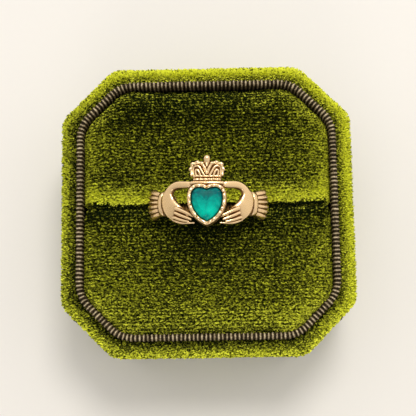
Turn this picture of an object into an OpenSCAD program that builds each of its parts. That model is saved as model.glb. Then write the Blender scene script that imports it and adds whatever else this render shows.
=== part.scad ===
// A claddagh ring held in the slot of an open octagonal velvet ring box.
// Millimetres, +Z up. The origin is the middle of the box's underside; the crown of the ring points to +Y.

/* [Ring] */
// Radius of the finger hole
finger_r = 9; // [8:0.25:10]
// Wall of the plain band
band_t = 1.2; // [1:0.1:1.6]
// Width of the plain band
band_w = 2.5; // [2:0.1:3]
// Angle either side of the top where the plain band stops under the hands
band_gap = 37; // [33:1:42]
// Forward lean of the ring in its slot
ring_lean = 5; // [0:1:8]
// Height of the ring's centre above the rim of the box
ring_rise = 0.5; // [0:0.25:1.5]
// How far the ring's centre lies behind the middle of the box
ring_back = 0.3; // [0:0.1:0.6]
// How far the ring's centre lies to the right of the middle of the box
ring_side = 0.35; // [0:0.05:1]
// Turn of the ring about its own axis, heart towards the left
ring_turn = 1; // [0:0.5:3]
// Turn of the ring seen from above, right side forwards
ring_yaw = 0.9; // [0:0.1:2]

/* [Heart] */
// Width of the heart stone
stone_w = 5.2; // [4.8:0.1:5.6]
// Height of the heart stone, from its lobes to its tip
stone_l = 5.6; // [5.2:0.1:6]
// Radius of the stone's long sides
stone_side_r = 4.2; // [3.9:0.1:4.8]
// Depth of the stone under its girdle
pavilion_h = 1.9; // [1.4:0.1:2.2]
// Height of the stone over its girdle
crown_facet_h = 0.65; // [0.4:0.05:0.9]
// Share of the stone's outline that the table takes
table_share = 0.62; // [0.5:0.02:0.7]
// Gap round the stone
stone_gap = 0.06; // [0.04:0.01:0.1]
// Wall of the bezel
bezel_t = 0.72; // [0.64:0.02:0.8]
// How far the bezel's foot stands out beyond its rim
bezel_flare = 0.07; // [0:0.01:0.12]
// Height of the bezel's rim above the band
bezel_h = 1.9; // [1.5:0.1:2.3]
// Depth of the crimps in the bezel's rim
crimp = 0.1; // [0.05:0.01:0.14]
// Number of crimps on each half of the bezel
crimps_per_half = 12; // [9:1:15]

/* [Hands] */
// Length of a hand along the band, from the heart's middle to the wrist
hand_len = 8.4; // [8:0.1:8.8]
// Width of a hand across the band
hand_w = 7.2; // [6.8:0.1:7.6]
// Rise of the back of the hand above the band
hand_rise = 0.8; // [0.6:0.05:1]

/* [Cuffs] */
// Length of the cuff's collar along the band
cuff_l = 1.1; // [0.8:0.1:1.3]
// Width of the cuff's collar across the band
cuff_w = 4.3; // [3.8:0.1:4.6]
// Rise of the cuff's collar above the band
cuff_rise = 0.8; // [0.6:0.05:1]
// Length of the ruffle along the band
ruffle_l = 2.4; // [2:0.1:2.8]
// Width of the ruffle at its open end
ruffle_w = 4.9; // [4.4:0.1:5.4]
// Number of flutes in each ruffle
flutes = 6; // [5:1:8]

/* [Crown] */
// Width of the crown across its arches
crown_w = 5.7; // [5.2:0.1:6.2]
// Height of the crown from its base rim to the top of the knob
crown_l = 5; // [4.6:0.1:5.4]
// Rise of the crown's arches above the band
crown_rise = 0.45; // [0.3:0.05:0.6]
// Radius of the knob on the crown
knob_r = 0.58; // [0.5:0.02:0.66]
// Radius of the beads on the crown's arches
bead_r = 0.34; // [0.28:0.02:0.4]

/* [Box] */
// Width of the box
box_w = 53; // [50:0.5:58]
// Depth of the box
box_d = 53; // [50:0.5:58]
// Length cut from each corner of the box
chamfer = 9.4; // [8:0.2:11]
// Height of the velvet wall
wall_h = 23.5; // [22:0.5:30]
// Thickness of the velvet wall
wall_t = 2.7; // [2.2:0.1:3.2]
// Thickness of the floor
floor_t = 2; // [1.5:0.25:3]
// Radius that rounds the top edge of the wall
rim_round = 1.2; // [0.8:0.1:1.3]
// Radius that rounds the upright corners
corner_r = 2.4; // [1.5:0.1:3.5]
// Radius that rounds the wall's inner corners, where the collar sits
inner_corner_r = 6.5; // [4:0.25:8]
// Thickness of the ribbon-covered collar
collar_t = 1.35; // [1.2:0.05:2]
// Height of the collar above the wall
collar_rise = 1.7; // [1:0.1:3]

/* [Cushions] */
// Height of the cushions' flat tops above the wall
pad_rise = 1.4; // [0.5:0.1:2]
// Roll of the cushions' outer edges
pad_roll = 2.8; // [2:0.1:3.5]
// Width of the slot between the cushions
slot_w = 1.2; // [0.8:0.1:2]
// Distance of the slot's middle in front of the box's middle
slot_front = 0.15; // [0:0.05:0.6]

/* [Hidden] */
fit = 0.15;            // gap between the box's pieces
pocket_gap = 0.2;      // gap between the ring and the cushions
band_r = finger_r + band_t;
ring_z = wall_h + ring_rise;
shoulder = 0.35;       // rounding of the band's outer edges
olive = [0.45, 0.48, 0.1];
moss = [0.27, 0.3, 0.06];
taupe = [0.42, 0.36, 0.28];
gold = [0.85, 0.68, 0.47];
emerald = [0.02, 0.6, 0.5];

// A point given by its length along the band, its place across it and its height over it
function wrap(s, y, h) =
    let (a = s / band_r * 180 / PI, r = band_r + h)
    [r * sin(a), y, r * cos(a)];
// The point straight under another, just inside the finger hole
function under(p) = [p.x, p.y, finger_r * sqrt(0.934 - min(p.x * p.x / finger_r / finger_r, 0.79))];
function unit(v) = v / norm(v);
function flat_normal(v) = let (u = unit(v)) [u.y, -u.x];

// A table of rows with smooth steps put in between
function between(a, b, c, d, u) =
    b + (c - a) * u / 2 + (2 * a - 5 * b + 4 * c - d) * u * u / 2 + (3 * (b - c) + d - a) * u * u * u / 2;
function smooth(rows, steps) =
    let (n = len(rows) - 1)
    concat([for (i = [0:n - 1]) for (k = [0:steps - 1])
        between(rows[max(i - 1, 0)], rows[i], rows[i + 1], rows[min(i + 2, n)], k / steps)], [rows[n]]);

// A solid through rings of points, either capped at both ends or joined end to end
module loft(rings, closed = false) {
    m = len(rings);
    n = len(rings[0]);
    last = closed ? m : m - 1;
    middle = function (r) [for (k = [0:2]) [for (p = r) p[k]] * [for (p = r) 1] / n];
    points = [for (r = rings) each r];
    sides = [for (i = [0:last - 1]) for (j = [0:n - 1])
        let (a = i * n, b = ((i + 1) % m) * n, k = (j + 1) % n)
        each [[a + j, b + j, b + k], [a + j, b + k, a + k]]];
    caps = closed ? [] : [for (j = [0:n - 1])
        let (k = (j + 1) % n)
        each [[m * n, j, k], [m * n + 1, (m - 1) * n + k, (m - 1) * n + j]]];
    ends = closed ? [] : [middle(rings[0]), middle(rings[m - 1])];
    polyhedron(concat(points, ends), concat(sides, caps));
}

// A round-ended bar through points given as [along, across, height], with a radius at each
module bar(path, radii, sides = 8) {
    last = len(path) - 1;
    at = [for (q = path) wrap(q.x, q.y, q.z)];
    slice = function (i, share, r)
        let (p = at[i], t = unit(at[min(i + 1, last)] - at[max(i - 1, 0)]),
             s = unit(cross(t, [p.x, 0, p.z])), v = cross(s, t))
        [for (j = [0:sides - 1]) let (a = 360 * (j + 0.5) / sides)
            p + share * radii[i] * t + r * radii[i] * (cos(a) * v + sin(a) * s)];
    loft(concat([slice(0, -0.75, 0.55)], [for (i = [0:last]) slice(i, 0, 1)], [slice(last, 0.75, 0.55)]));
}

// The heart's outline: a flat brow arc, a lobe arc and a long side arc on each half, offset outwards by grow
lobe_r = stone_w * 0.235;
brow_r = stone_w * 0.5;
lobe_x = stone_w / 2 - lobe_r;
lobe_y = stone_l * 0.424 - lobe_r;
tip_y = lobe_y + lobe_r - stone_l;
function side_centre() =
    let (to_tip = [0, tip_y] - [lobe_x, lobe_y], d = norm(to_tip),
         near = stone_side_r - lobe_r,
         along = (near * near - stone_side_r * stone_side_r + d * d) / (2 * d),
         off = sqrt(max(near * near - along * along, 0)), u = to_tip / d)
    [lobe_x, lobe_y] + along * u + off * [u.y, -u.x];
side_c = side_centre();
join_a = atan2(lobe_y - side_c.y, lobe_x - side_c.x);
function heart_half(grow, per_lobe, per_side) =
    let (notch_a = acos(-lobe_x / (brow_r + grow)), tip_a = -acos(-side_c.x / (stone_side_r + grow)),
         on_brow = round(per_lobe * 0.4))
    concat(
        [for (i = [0:on_brow - 1]) let (a = notch_a + (90 - notch_a) * i / on_brow)
            [lobe_x, lobe_y + lobe_r - brow_r] + (brow_r + grow) * [cos(a), sin(a)]],
        [for (i = [on_brow:per_lobe - 1]) let (a = 90 + (join_a - 90) * (i - on_brow) / (per_lobe - on_brow))
            [lobe_x, lobe_y] + (lobe_r + grow) * [cos(a), sin(a)]],
        [for (i = [0:per_side]) let (a = join_a + (tip_a - join_a) * i / per_side)
            side_c + (stone_side_r + grow) * [cos(a), sin(a)]]);
bare = heart_half(0, 40, 80);
wide = stone_w / 2 / max([for (p = bare) p.x]);
tall = stone_l / (max([for (p = bare) p.y]) - min([for (p = bare) p.y]));
// Counter-clockwise seen from above, starting at the notch
function heart(grow, per_lobe, per_side) =
    let (right = heart_half(grow, per_lobe, per_side), n = len(right))
    [for (i = [0:2 * n - 3]) let (p = right[i < n ? i : 2 * n - 2 - i])
        [p.x * wide * (i < n ? -1 : 1), p.y * tall]];
function at_height(outline, z, share = 1) = [for (p = outline) [p.x * share, p.y * share, z]];

// Plain band, open under the heart and the hands
module band() {
    half = band_w / 2;
    rotate([90, 0, 0]) rotate([0, 0, 90 + band_gap])
        rotate_extrude(angle = 360 - 2 * band_gap, $fn = 72)
            translate([finger_r, 0]) polygon([
                [-0.3, -half + 0.45], [0.15, -half], [band_t * 0.5, -half], [band_t * 0.83, -half + shoulder],
                [band_t, -half * 0.35], [band_t, half * 0.35],
                [band_t * 0.83, half - shoulder], [band_t * 0.5, half], [0.15, half], [-0.3, half - 0.45]]);
}

// The hands keep hold of the bezel at hold_at of their table, and reach the wrist at 1
hold_at = 0.298;
hold_s = stone_w * 0.4795;
function along_hand(share) = hold_s + (hand_len - hold_s) * (share - hold_at) / (1 - hold_at);
// The hand's plate from the thumb's tip round the wrist to the fingers, as shares of
// its length along the band and hand_w across it: [along, across, half width, rise as a share of hand_rise]
HAND = [
    [0.298,  0.431, 0.052, 0.45],
    [0.369,  0.430, 0.072, 0.66],
    [0.476,  0.433, 0.079, 0.74],
    [0.583,  0.436, 0.082, 0.80],
    [0.673,  0.417, 0.081, 0.84],
    [0.756,  0.366, 0.082, 0.90],
    [0.826,  0.275, 0.104, 0.96],
    [0.866,  0.160, 0.166, 1.00],
    [0.869,  0.020, 0.195, 1.00],
    [0.808, -0.117, 0.206, 1.00],
    [0.709, -0.224, 0.199, 0.86],
    [0.583, -0.318, 0.180, 0.46],
    [0.458, -0.380, 0.140, 0.22],
    [0.280, -0.415, 0.078, 0.08]];
// The plate's section from its outer edge over the top to its inner edge: [place across, share of the rise]
HAND_SECTION = [[-0.86, -1], [-1, 0.1], [-0.82, 0.62], [-0.42, 0.92], [0, 1],
    [0.42, 0.92], [0.82, 0.62], [1, 0.1], [0.86, -1]];

module hand_plate() {
    rows = smooth(HAND, 2);
    n = len(rows);
    at = [for (r = rows) [along_hand(r[0]), r[1] * hand_w]];
    rings = [for (i = [0:n - 1])
        let (side = flat_normal(at[min(i + 1, n - 1)] - at[max(i - 1, 0)]), w = rows[i][2] * hand_w)
        [for (q = HAND_SECTION)
            let (p = at[i] + side * q[0] * w, top = wrap(p.x, p.y, max(q[1], 0) * rows[i][3] * hand_rise))
            q[1] > 0 ? top : q[0] > 0 ? under(top) : wrap(p.x, p.y, -band_t - 0.3)]];
    loft(rings);
}

// Fingers, each from its knuckle over its middle to its tip, as shares of the length, hand_w and
// hand_rise: [along, across, height] three times, then the radius as a share of hand_rise at each
FINGERS = [
    [[0.680, -0.150, 0.30], [0.500, -0.205, 0.50], [0.262, -0.338, 0.42], [0.62, 0.44, 0.36]],
    [[0.690, -0.245, 0.36], [0.500, -0.302, 0.44], [0.200, -0.400, 0.30], [0.40, 0.37, 0.34]],
    [[0.712, -0.325, 0.24], [0.524, -0.388, 0.30], [0.168, -0.452, 0.16], [0.36, 0.36, 0.33]],
    [[0.738, -0.368, 0.06], [0.583, -0.436, 0.06], [0.310, -0.474, -0.06], [0.34, 0.34, 0.27]]];
module knob_at(p, r, n = 8) {
    translate(p) sphere(r = r, $fn = n);
}
module fingers() {
    for (f = FINGERS)
        bar(smooth([for (k = [0:2]) [along_hand(f[k].x), f[k].y * hand_w, f[k].z * hand_rise]], 2),
            smooth(f[3], 2) * hand_rise);
}

// The wrist and the cuff's collar: [share of the length, share of the width, share of the rise]
WRIST = [[0, 0.731, 0.5], [0.45, 0.759, 0.62], [1, 0.805, 0.62]];
COLLAR = [[0, 0.90, 0.80], [0.25, 1, 1], [0.75, 1, 1], [1, 0.90, 0.80]];
wrist_l = 0.9;
arch = [for (a = [0:22.5:180]) [cos(a), pow(sin(a), 0.5)]];
module arched(stations, start, length, width, rise) {
    loft([for (r = stations)
        [for (q = concat([[0.9, -1]], arch, [[-0.9, -1]]))
            wrap(start + r[0] * length, q.x * r[1] * width / 2,
                 q.y < 0 ? -band_t - 0.2 : -band_t * 0.5 + q.y * (r[2] * rise + band_t * 0.5))]]);
}
module cuff() {
    arched(WRIST, hand_len - wrist_l + 0.2, wrist_l, cuff_w, cuff_rise);
    arched(COLLAR, hand_len + 0.054, cuff_l, cuff_w, cuff_rise);
}
// Flutes fan out from the collar and flare at their open ends
module ruffle() {
    start = hand_len + 0.054 + cuff_l * 0.75;
    pitch = ruffle_w / flutes;
    for (k = [0:flutes - 1]) {
        y = (k + 0.5) * pitch - ruffle_w / 2;
        drop = pow(abs(y) / (ruffle_w / 2), 2);
        hull() {
            knob_at(wrap(start, y * 0.5, 0.16 - drop * 0.25), pitch * 0.36);
            knob_at(wrap(start + ruffle_l * (0.5 - 0.08 * drop), y * 0.8, 0.2 - drop * 0.5), pitch * 0.44);
            knob_at(wrap(start + ruffle_l * (1 - 0.2 * drop), y, 0.95 - drop * 0.5), pitch * 0.52);
        }
    }
    hull()
        for (side = [-1, 1])
            for (along = [0, ruffle_l * 0.7])
                knob_at(wrap(start + along, side * cuff_w * 0.3, -band_t * 0.998), 0.749);
}

// Crimped bezel round the stone, with a sloping seat under the girdle
per_lobe = round(crimps_per_half * 0.42) * 4;
per_side = crimps_per_half * 4 - per_lobe;
SCALLOP = [-1, 0.45, 1, 0.45];
rim_z = band_r + bezel_h;
girdle_z = rim_z - 0.45;
bezel_foot = finger_r - 0.4;
// The stone's waist under its girdle: share of the pavilion's depth, share of the outline
waist_at = 0.5;
waist_share = 0.56;
function crimped(grow, wave) =
    let (plain = heart(grow, per_lobe, per_side), out = heart(grow + 1, per_lobe, per_side))
    [for (i = [0:len(plain) - 1]) plain[i] + (out[i] - plain[i]) * SCALLOP[i % 4] * wave];
function scalloped(points, z, dip) = [for (i = [0:len(points) - 1])
    [points[i].x, points[i].y, z - dip * (1 - SCALLOP[i % 4]) / 2]];
module bezel() {
    loft([
        at_height(crimped(bezel_t + bezel_flare, 0), bezel_foot),
        at_height(crimped(bezel_t + bezel_flare, 0), band_r + bezel_h * 0.276),
        at_height(crimped(bezel_t, crimp * 0.3), rim_z - 0.6),
        scalloped(crimped(bezel_t * 0.84, crimp * 0.5), rim_z - 0.14, crimp * 2),
        scalloped(crimped(bezel_t * 0.45, crimp * 0.5), rim_z, crimp * 2),
        scalloped(crimped(stone_gap, 0), rim_z - 0.14, crimp),
        at_height(crimped(stone_gap, 0), girdle_z - 0.1),
        at_height(crimped(stone_gap, 0), girdle_z - pavilion_h * waist_at, waist_share + 0.08),
        at_height(crimped(stone_gap, 0), bezel_foot, waist_share + 0.06)], closed = true);
}

// The crown's outline on its right half, as shares of crown_w / 2 and crown_l: [across, up]
CROWN = [[0, -0.04], [0.89, -0.04], [0.85, 0.10], [0.85, 0.22], [0.93, 0.31], [1.00, 0.50],
    [0.92, 0.68], [0.60, 0.76], [0.30, 0.72], [0.17, 0.78], [0, 0.78]];
// The beads on one arch, the rim that carries them and the ridges inside it, as shares of the same sizes
ARCH_BEADS = [[0.29, 0.715], [0.56, 0.75], [0.85, 0.695], [0.97, 0.52], [0.91, 0.335]];
ARCH_RIM = [[0.02, 0.38], [0.13, 0.56], [0.29, 0.70], [0.55, 0.73], [0.80, 0.68], [0.93, 0.52], [0.87, 0.33]];
ARCH_RIDGE = [[0.13, 0.276], [0.32, 0.47], [0.44, 0.588], [0.60, 0.638],
    [0.78, 0.61], [0.83, 0.50], [0.77, 0.266]];
ARCH_LOOP = [[0.37, 0.268], [0.474, 0.428], [0.59, 0.50], [0.68, 0.44], [0.65, 0.318]];
SEED = [0.55, 0.29];
RIM_BEADS = 6;
crown_y = tall * (lobe_y + lobe_r) + bezel_t - 0.02;
plate_top = crown_rise - 0.35;
function on_crown(q, h, side = 1) = wrap(side * q.x * crown_w / 2, crown_y + q.y * crown_l, h);
module crown_plate() {
    intersection() {
        translate([0, crown_y, finger_r * 0.78]) linear_extrude(band_r * 0.6)
            polygon([for (side = [1, -1]) for (k = side > 0 ? [0:len(CROWN) - 1] : [len(CROWN) - 2:-1:1])
                [side * CROWN[k].x * crown_w / 2, CROWN[k].y * crown_l]]);
        rotate([-90, 2.21, 0]) cylinder(r = band_r + plate_top, h = crown_y + crown_l, $fn = 144);
    }
}
module ridge(points, side, r, h, sides = 6) {
    bar([for (q = points) [side * q.x * crown_w / 2, crown_y + q.y * crown_l, h]], [for (q = points) r], sides);
}
module crown_bar(y, half, r, h) {
    ridge([for (k = [-3:2:3]) [half * k / 3, y]], 1, r, h, 8);
}
module crown() {
    crown_plate();
    crown_bar(0.045, 0.9, 0.34, crown_rise - 0.191);
    crown_bar(0.275, 0.74, 0.17, crown_rise - 0.317);
    for (k = [1:RIM_BEADS])
        knob_at(on_crown([(2 * k - 1 - RIM_BEADS) * 0.125, 0.175], crown_rise - 0.3), 0.29);
    for (side = [-1, 1]) {
        for (q = ARCH_BEADS) knob_at(on_crown(q, crown_rise - 0.251, side), bead_r);
        ridge(ARCH_RIDGE, side, 0.224, plate_top);
        ridge(ARCH_LOOP, side, 0.197, plate_top);
        ridge(ARCH_RIM, side, 0.269, crown_rise - 0.276);
        knob_at(on_crown(SEED, plate_top, side), 0.22);
    }
    top = crown_y + crown_l - knob_r;
    hull() {
        knob_at(wrap(0, top, crown_rise - 0.3), knob_r, 12);
        knob_at(wrap(0, top - knob_r * 1.3, crown_rise - 0.37), knob_r * 0.86, 10);
    }
}

module in_slot() {
    translate([ring_side, ring_back, ring_z]) rotate([ring_lean, -ring_turn, -ring_yaw]) children();
}

module ring() {
    color(gold) in_slot() difference() {
        union() {
            band();
            bezel();
            crown();
            for (side = [0, 1]) mirror([side, 0, 0]) {
                hand_plate();
                fingers();
                cuff();
                ruffle();
            }
        }
        rotate([90, 2.67, 0]) cylinder(r = finger_r, h = 2 * (crown_l + stone_l), center = true, $fn = 120);
    }
}

// Heart-cut stone: a table, a ring of crown facets, a thin girdle and a keeled pavilion
module heart_stone() {
    cut = heart(0, 5, 8);
    n = len(cut);
    shifted = function (share, z) [for (p = cut) [p.x * share, p.y * share, z]];
    star = function (share, z) [for (i = [0:n - 1])
        let (even = i % 2 == 0, s = share * (even ? 1 : 0.96))
        [cut[i].x * s, cut[i].y * s, z - (even ? 0 : 0.05)]];
    color(emerald) in_slot() loft([
        shifted(0.06, girdle_z - pavilion_h),
        shifted(waist_share, girdle_z - pavilion_h * waist_at),
        shifted(1, girdle_z - 0.04),
        shifted(1, girdle_z + 0.06),
        star(0.84, girdle_z + crown_facet_h * 0.62),
        shifted(table_share, girdle_z + crown_facet_h)]);
}

// The box's outline with rounded corners, moved inwards by inset
function octagon(inset) =
    let (x = box_w / 2 - inset, y = box_d / 2 - inset, c = chamfer - inset * (2 - sqrt(2)))
    [[x, y - c], [x - c, y], [-x + c, y], [-x, y - c],
     [-x, -y + c], [-x + c, -y], [x - c, -y], [x, -y + c]];
// Rounds a counter-clockwise convex outline with an arc of steps + 1 points at each corner
function rounded(corners, radii, steps = 4) =
    let (n = len(corners))
    [for (i = [0:n - 1])
        let (p = corners[i], r = radii[i],
             to_last = unit(corners[(i + n - 1) % n] - p), to_next = unit(corners[(i + 1) % n] - p),
             half = acos(to_last * to_next) / 2, reach = r / tan(half), mid = unit(to_last + to_next),
             c = p + mid * r / sin(half), v = p + to_last * reach - c, turn = 180 - 2 * half)
        for (k = [0:steps])
            let (a = turn * k / steps) c + [v.x * cos(a) - v.y * sin(a), v.x * sin(a) + v.y * cos(a)]];
cavity = wall_t + fit;
// The corners get rounder from the outside of the wall to the collar, and tighter again inside that
function corner(inset) =
    inset < cavity ? corner_r + (inner_corner_r - corner_r) * inset / cavity : inner_corner_r - inset + cavity;
function box_ring(inset, z) =
    [for (p = rounded(octagon(inset), [for (k = [0:7]) max(corner(inset), 0.8)])) [p.x, p.y, z]];

module box_shell() {
    color(olive) loft(concat(
        [box_ring(0.6, 0), box_ring(0, 0.6)],
        [for (a = [0:30:180])
            box_ring(rim_round - (a < 90 ? rim_round : wall_t - rim_round) * cos(a),
                     wall_h - rim_round * (1 - sin(a)))],
        [box_ring(wall_t, floor_t)]));
}

collar_in = cavity + collar_t;
module ribbon_collar() {
    top = wall_h + collar_rise - collar_t / 2;
    color(taupe) loft(concat(
        [for (a = [0:30:180]) box_ring(cavity + collar_t / 2 * (1 - cos(a)), top + collar_t / 2 * sin(a))],
        [box_ring(collar_in, floor_t + fit), box_ring(cavity, floor_t + fit)]), closed = true);
}

// Cushions fill the collar on both sides of the slot. Each edge rolls over by its own share.
pad_in = collar_in + fit;
slot_corner_r = 0.8;
pad_top = wall_h + pad_rise;
// [share of the roll moved in, share of the roll that the height lies under the top]
PAD_ROLL = [[0, 1.15], [0.12, 0.72], [0.42, 0.30], [0.9, 0.06], [2.4, 0]];
function cushion_ring(back, inset, slot_inset, z) =
    let (o = octagon(pad_in + inset), x = o[0].x, near = back * (slot_w / 2 + slot_inset) - slot_front,
         pts = back > 0 ? [[x, near], o[0], o[1], o[2], o[3], [-x, near]]
                        : [[-x, near], o[4], o[5], o[6], o[7], [x, near]])
    [for (p = rounded(pts, [for (k = [0:5]) k == 0 || k == 5 ? slot_corner_r : corner(pad_in)], 3)) [p.x, p.y, z]];
module cushion(back, slot_roll) {
    difference() {
        loft(concat(
            [cushion_ring(back, 0.5, 0.5, floor_t + fit), cushion_ring(back, 0, 0, floor_t + fit + 0.5)],
            [for (r = PAD_ROLL)
                cushion_ring(back, r[0] * pad_roll, r[0] * slot_roll, pad_top - r[1] * pad_roll)]));
        in_slot() rotate([90, 0, 0])
            cylinder(r = band_r + pocket_gap, h = band_w + 2 * pocket_gap, center = true, $fn = 120);
    }
}
module back_cushion() { color(moss) cushion(1, pad_roll * 0.5); }
module front_cushion() { color(moss) cushion(-1, pad_roll * 0.9); }

box_shell();
ribbon_collar();
back_cushion();
front_cushion();
ring();
heart_stone();
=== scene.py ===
"""Dressed model of a claddagh ring standing in the slot of an open, octagonal velvet ring box.

Shapes are worked out in millimetres and written in metres, in the frame of the CAD model: the origin is the
middle of the box's underside, +Z is up and the crown of the ring points to +Y.
"""

import math
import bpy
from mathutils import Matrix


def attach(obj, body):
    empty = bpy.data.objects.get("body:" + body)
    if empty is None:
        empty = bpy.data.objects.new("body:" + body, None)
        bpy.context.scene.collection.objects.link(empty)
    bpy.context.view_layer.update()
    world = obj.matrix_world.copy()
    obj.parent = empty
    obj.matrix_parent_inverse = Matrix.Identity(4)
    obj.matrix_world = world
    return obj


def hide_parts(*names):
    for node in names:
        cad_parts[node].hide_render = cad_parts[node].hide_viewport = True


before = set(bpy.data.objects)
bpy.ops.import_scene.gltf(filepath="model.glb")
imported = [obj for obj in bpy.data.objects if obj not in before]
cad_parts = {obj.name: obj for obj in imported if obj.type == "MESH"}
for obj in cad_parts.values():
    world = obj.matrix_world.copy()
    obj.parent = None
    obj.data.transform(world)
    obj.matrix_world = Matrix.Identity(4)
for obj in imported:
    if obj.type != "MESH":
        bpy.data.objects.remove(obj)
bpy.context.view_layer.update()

from types import SimpleNamespace

import bpy
import numpy as np
from bpy.props import FloatProperty, FloatVectorProperty, IntProperty, PointerProperty
from mathutils import Matrix, Vector
from mathutils.kdtree import KDTree

bl_info = {
    "name": "Claddagh Ring in a Velvet Box",
    "version": (1, 0, 0),
    "blender": (4, 5, 0),
    "location": "3D View > Sidebar > Ring Box",
    "description": "Builds a cast gold claddagh ring with a heart stone and its octagonal velvet box",
    "category": "Object",
}

MM = 0.001

# scales of the noise patterns, to a metre
SOFT_SCALE, PATCH_SCALE, LEAN_SCALE, WAVE_SCALE = 14.0, 130.0, 330.0, 420.0
CLOUD_SCALE, FIBRE_SCALE, RUFFLE_SCALE, WISP_SCALE = 700.0, 900.0, 1400.0, 2100.0
STREAK_SCALE, THREAD_SCALE, GRAIN_SCALE = 2900.0, 3400.0, 5200.0


# Settings


def length(name, description, default):
    """A length property whose default is given in millimetres."""
    units = {"subtype": "DISTANCE", "unit": "LENGTH", "precision": 5}
    return FloatProperty(name=name, description=description, default=default * MM, **units)


def tint(name, description, default):
    limits = {"size": 3, "min": 0.0, "max": 1.0}
    return FloatVectorProperty(name=name, description=description, default=default, subtype="COLOR", **limits)


def turn(name, description, default):
    units = {"subtype": "ANGLE", "unit": "ROTATION"}
    return FloatProperty(name=name, description=description, default=math.radians(default), **units)


def share(name, description, default):
    limits = {"min": 0.0, "max": 1.0}
    return FloatProperty(name=name, description=description, default=default, subtype="FACTOR", **limits)


class BoxSizes(bpy.types.PropertyGroup):
    """Sizes of the velvet box and its ribbon collar"""

    width: length("Width", "Width of the box", 53)
    depth: length("Depth", "Depth of the box", 53)
    chamfer: length("Chamfer", "Length cut from each corner", 9.4)
    wall_height: length("Wall height", "Height of the velvet wall", 23.5)
    wall: length("Wall thickness", "Thickness of the velvet wall", 2.7)
    floor: length("Floor thickness", "Thickness of the floor", 2)
    rim_radius: length("Rim radius", "Rounding of the wall's top edge", 1.2)
    corner_radius: length("Corner radius", "Rounding of the upright corners", 2.4)
    inner_corner: length("Inner corner radius", "Rounding of the wall's inner corners", 6.5)
    collar: length("Collar thickness", "Thickness of the ribbon-covered collar", 1.35)
    collar_rise: length("Collar rise", "Height of the collar above the wall", 1.7)
    fit: length("Fit", "Gap between the box's pieces", 0.15)
    rib_pitch: length("Rib pitch", "Distance from rib to rib along the ribbon", 0.73)
    rib_width: length("Rib width", "Width of one rib along the ribbon", 0.6)


class PadSizes(bpy.types.PropertyGroup):
    """Sizes of the two velvet pads that hold the ring"""

    rise: length("Rise", "Height of the pads above the wall", 1.4)
    roll: length("Roll", "Roll of the pads' outer edges", 2.8)
    slot_width: length("Slot width", "Width of the slot between the pads", 1.2)
    slot_front: length("Slot place", "Distance of the slot in front of the box's middle", 0.15)
    slot_corner: length("Slot corner", "Rounding of the pads' corners at the slot's ends", 0.8)
    swell: length("Swell", "Most that the stuffing pushes the cloth out", 0.55)
    ring_room: length("Room for the band", "Gap left round the band", 0.3)


class PileLook(bpy.types.PropertyGroup):
    """Size and colours of the velvet's tufts"""

    spacing: length("Spacing", "Least distance between tufts", 0.132)
    tuft_width: length("Tuft width", "Width of one tuft", 0.34)
    tuft_length: length("Tuft length", "Length of one tuft", 0.85)
    wall_spacing: length("Wall spacing", "Least distance between tufts of the wall", 0.17)
    wall_tuft_width: length("Wall tuft width", "Width of one tuft of the wall", 0.42)
    row_pitch: length("Row pitch", "Distance between the rows of tufts", 0.62)
    row_pull: share("Row pull", "How strongly tufts gather in rows", 0.3)
    # the root colour is painted shade between the tufts; the dark and bright tips are the two ends of the
    # tufts' painted light and shade
    root: tint("Root", "Colour between the tufts", (0.005, 0.009, 0.0005))
    dark: tint("Dark tip", "Colour of tufts that lean away", (0.003, 0.010, 0.0004))
    bright: tint("Bright tip", "Colour of tufts that catch the light", (0.89, 0.92, 0.068))
    seed: IntProperty(name="Seed", description="Seed of the tufts' scatter", default=7)


class RingSizes(bpy.types.PropertyGroup):
    """Sizes of the ring and its place in the slot"""

    finger: length("Finger radius", "Radius of the finger hole", 9)
    band: length("Band wall", "Wall of the plain band", 1.2)
    band_width: length("Band width", "Width of the plain band", 2.5)
    band_gap: turn("Band gap", "Angle either side of the top where the band stops", 37)
    lean: turn("Lean", "Forward lean of the ring", 5)
    rise: length("Rise", "Height of the ring's centre above the rim", 0.5)
    back: length("Back", "How far the ring lies behind the middle", 0.3)
    side: length("Side", "How far the ring lies to the right", 0.35)
    turned: turn("Turn", "Turn of the ring about its own axis", 1)
    yaw: turn("Yaw", "Turn of the ring seen from above", 0.9)
    bezel_wall: length("Bezel wall", "Wall of the bezel", 0.72)
    bezel_height: length("Bezel height", "Height of the bezel's rim above the band", 1.9)
    bezel_flare: length("Bezel flare", "How far the bezel's foot stands out", 0.07)
    crimp: length("Crimp", "Depth of the crimps in the bezel's rim", 0.1)
    hand_length: length("Hand length", "From the heart's middle to the wrist", 8.4)
    hand_width: length("Hand width", "Width of a hand across the band", 7.2)
    hand_rise: length("Hand rise", "Rise of the back of the hand", 0.8)
    cuff_length: length("Cuff length", "Length of the cuff's collar", 1.1)
    cuff_width: length("Cuff width", "Width of the cuff's collar", 4.3)
    cuff_rise: length("Cuff rise", "Rise of the cuff's collar", 0.8)
    ruffle_length: length("Ruffle length", "Length of the ruffle", 2.4)
    ruffle_width: length("Ruffle width", "Width of the ruffle's open end", 4.9)
    flutes: IntProperty(name="Flutes", description="Flutes in each ruffle", default=6)
    crown_width: length("Crown width", "Width of the crown", 5.7)
    crown_length: length("Crown length", "Height of the crown", 5)
    crown_rise: length("Crown rise", "Rise of the crown's arches", 0.45)
    knob: length("Knob", "Radius of the knob on the crown", 0.58)
    bead: length("Bead", "Radius of the crown's beads", 0.34)
    grain: length("Casting grain", "Finest detail of the casting", 0.06)
    gold: tint("Gold", "Colour of the worn metal", (0.92, 0.64, 0.33))
    # the ridges' colour is a painted highlight, and the recesses' colour is tarnish with painted shade
    polished: tint("Painted highlight gold", "Colour of the metal on its ridges", (1.0, 0.73, 0.43))
    tarnish_and_shade: tint("Tarnish and shade", "Colour of the metal in its recesses", (0.13, 0.05, 0.012))


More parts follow.
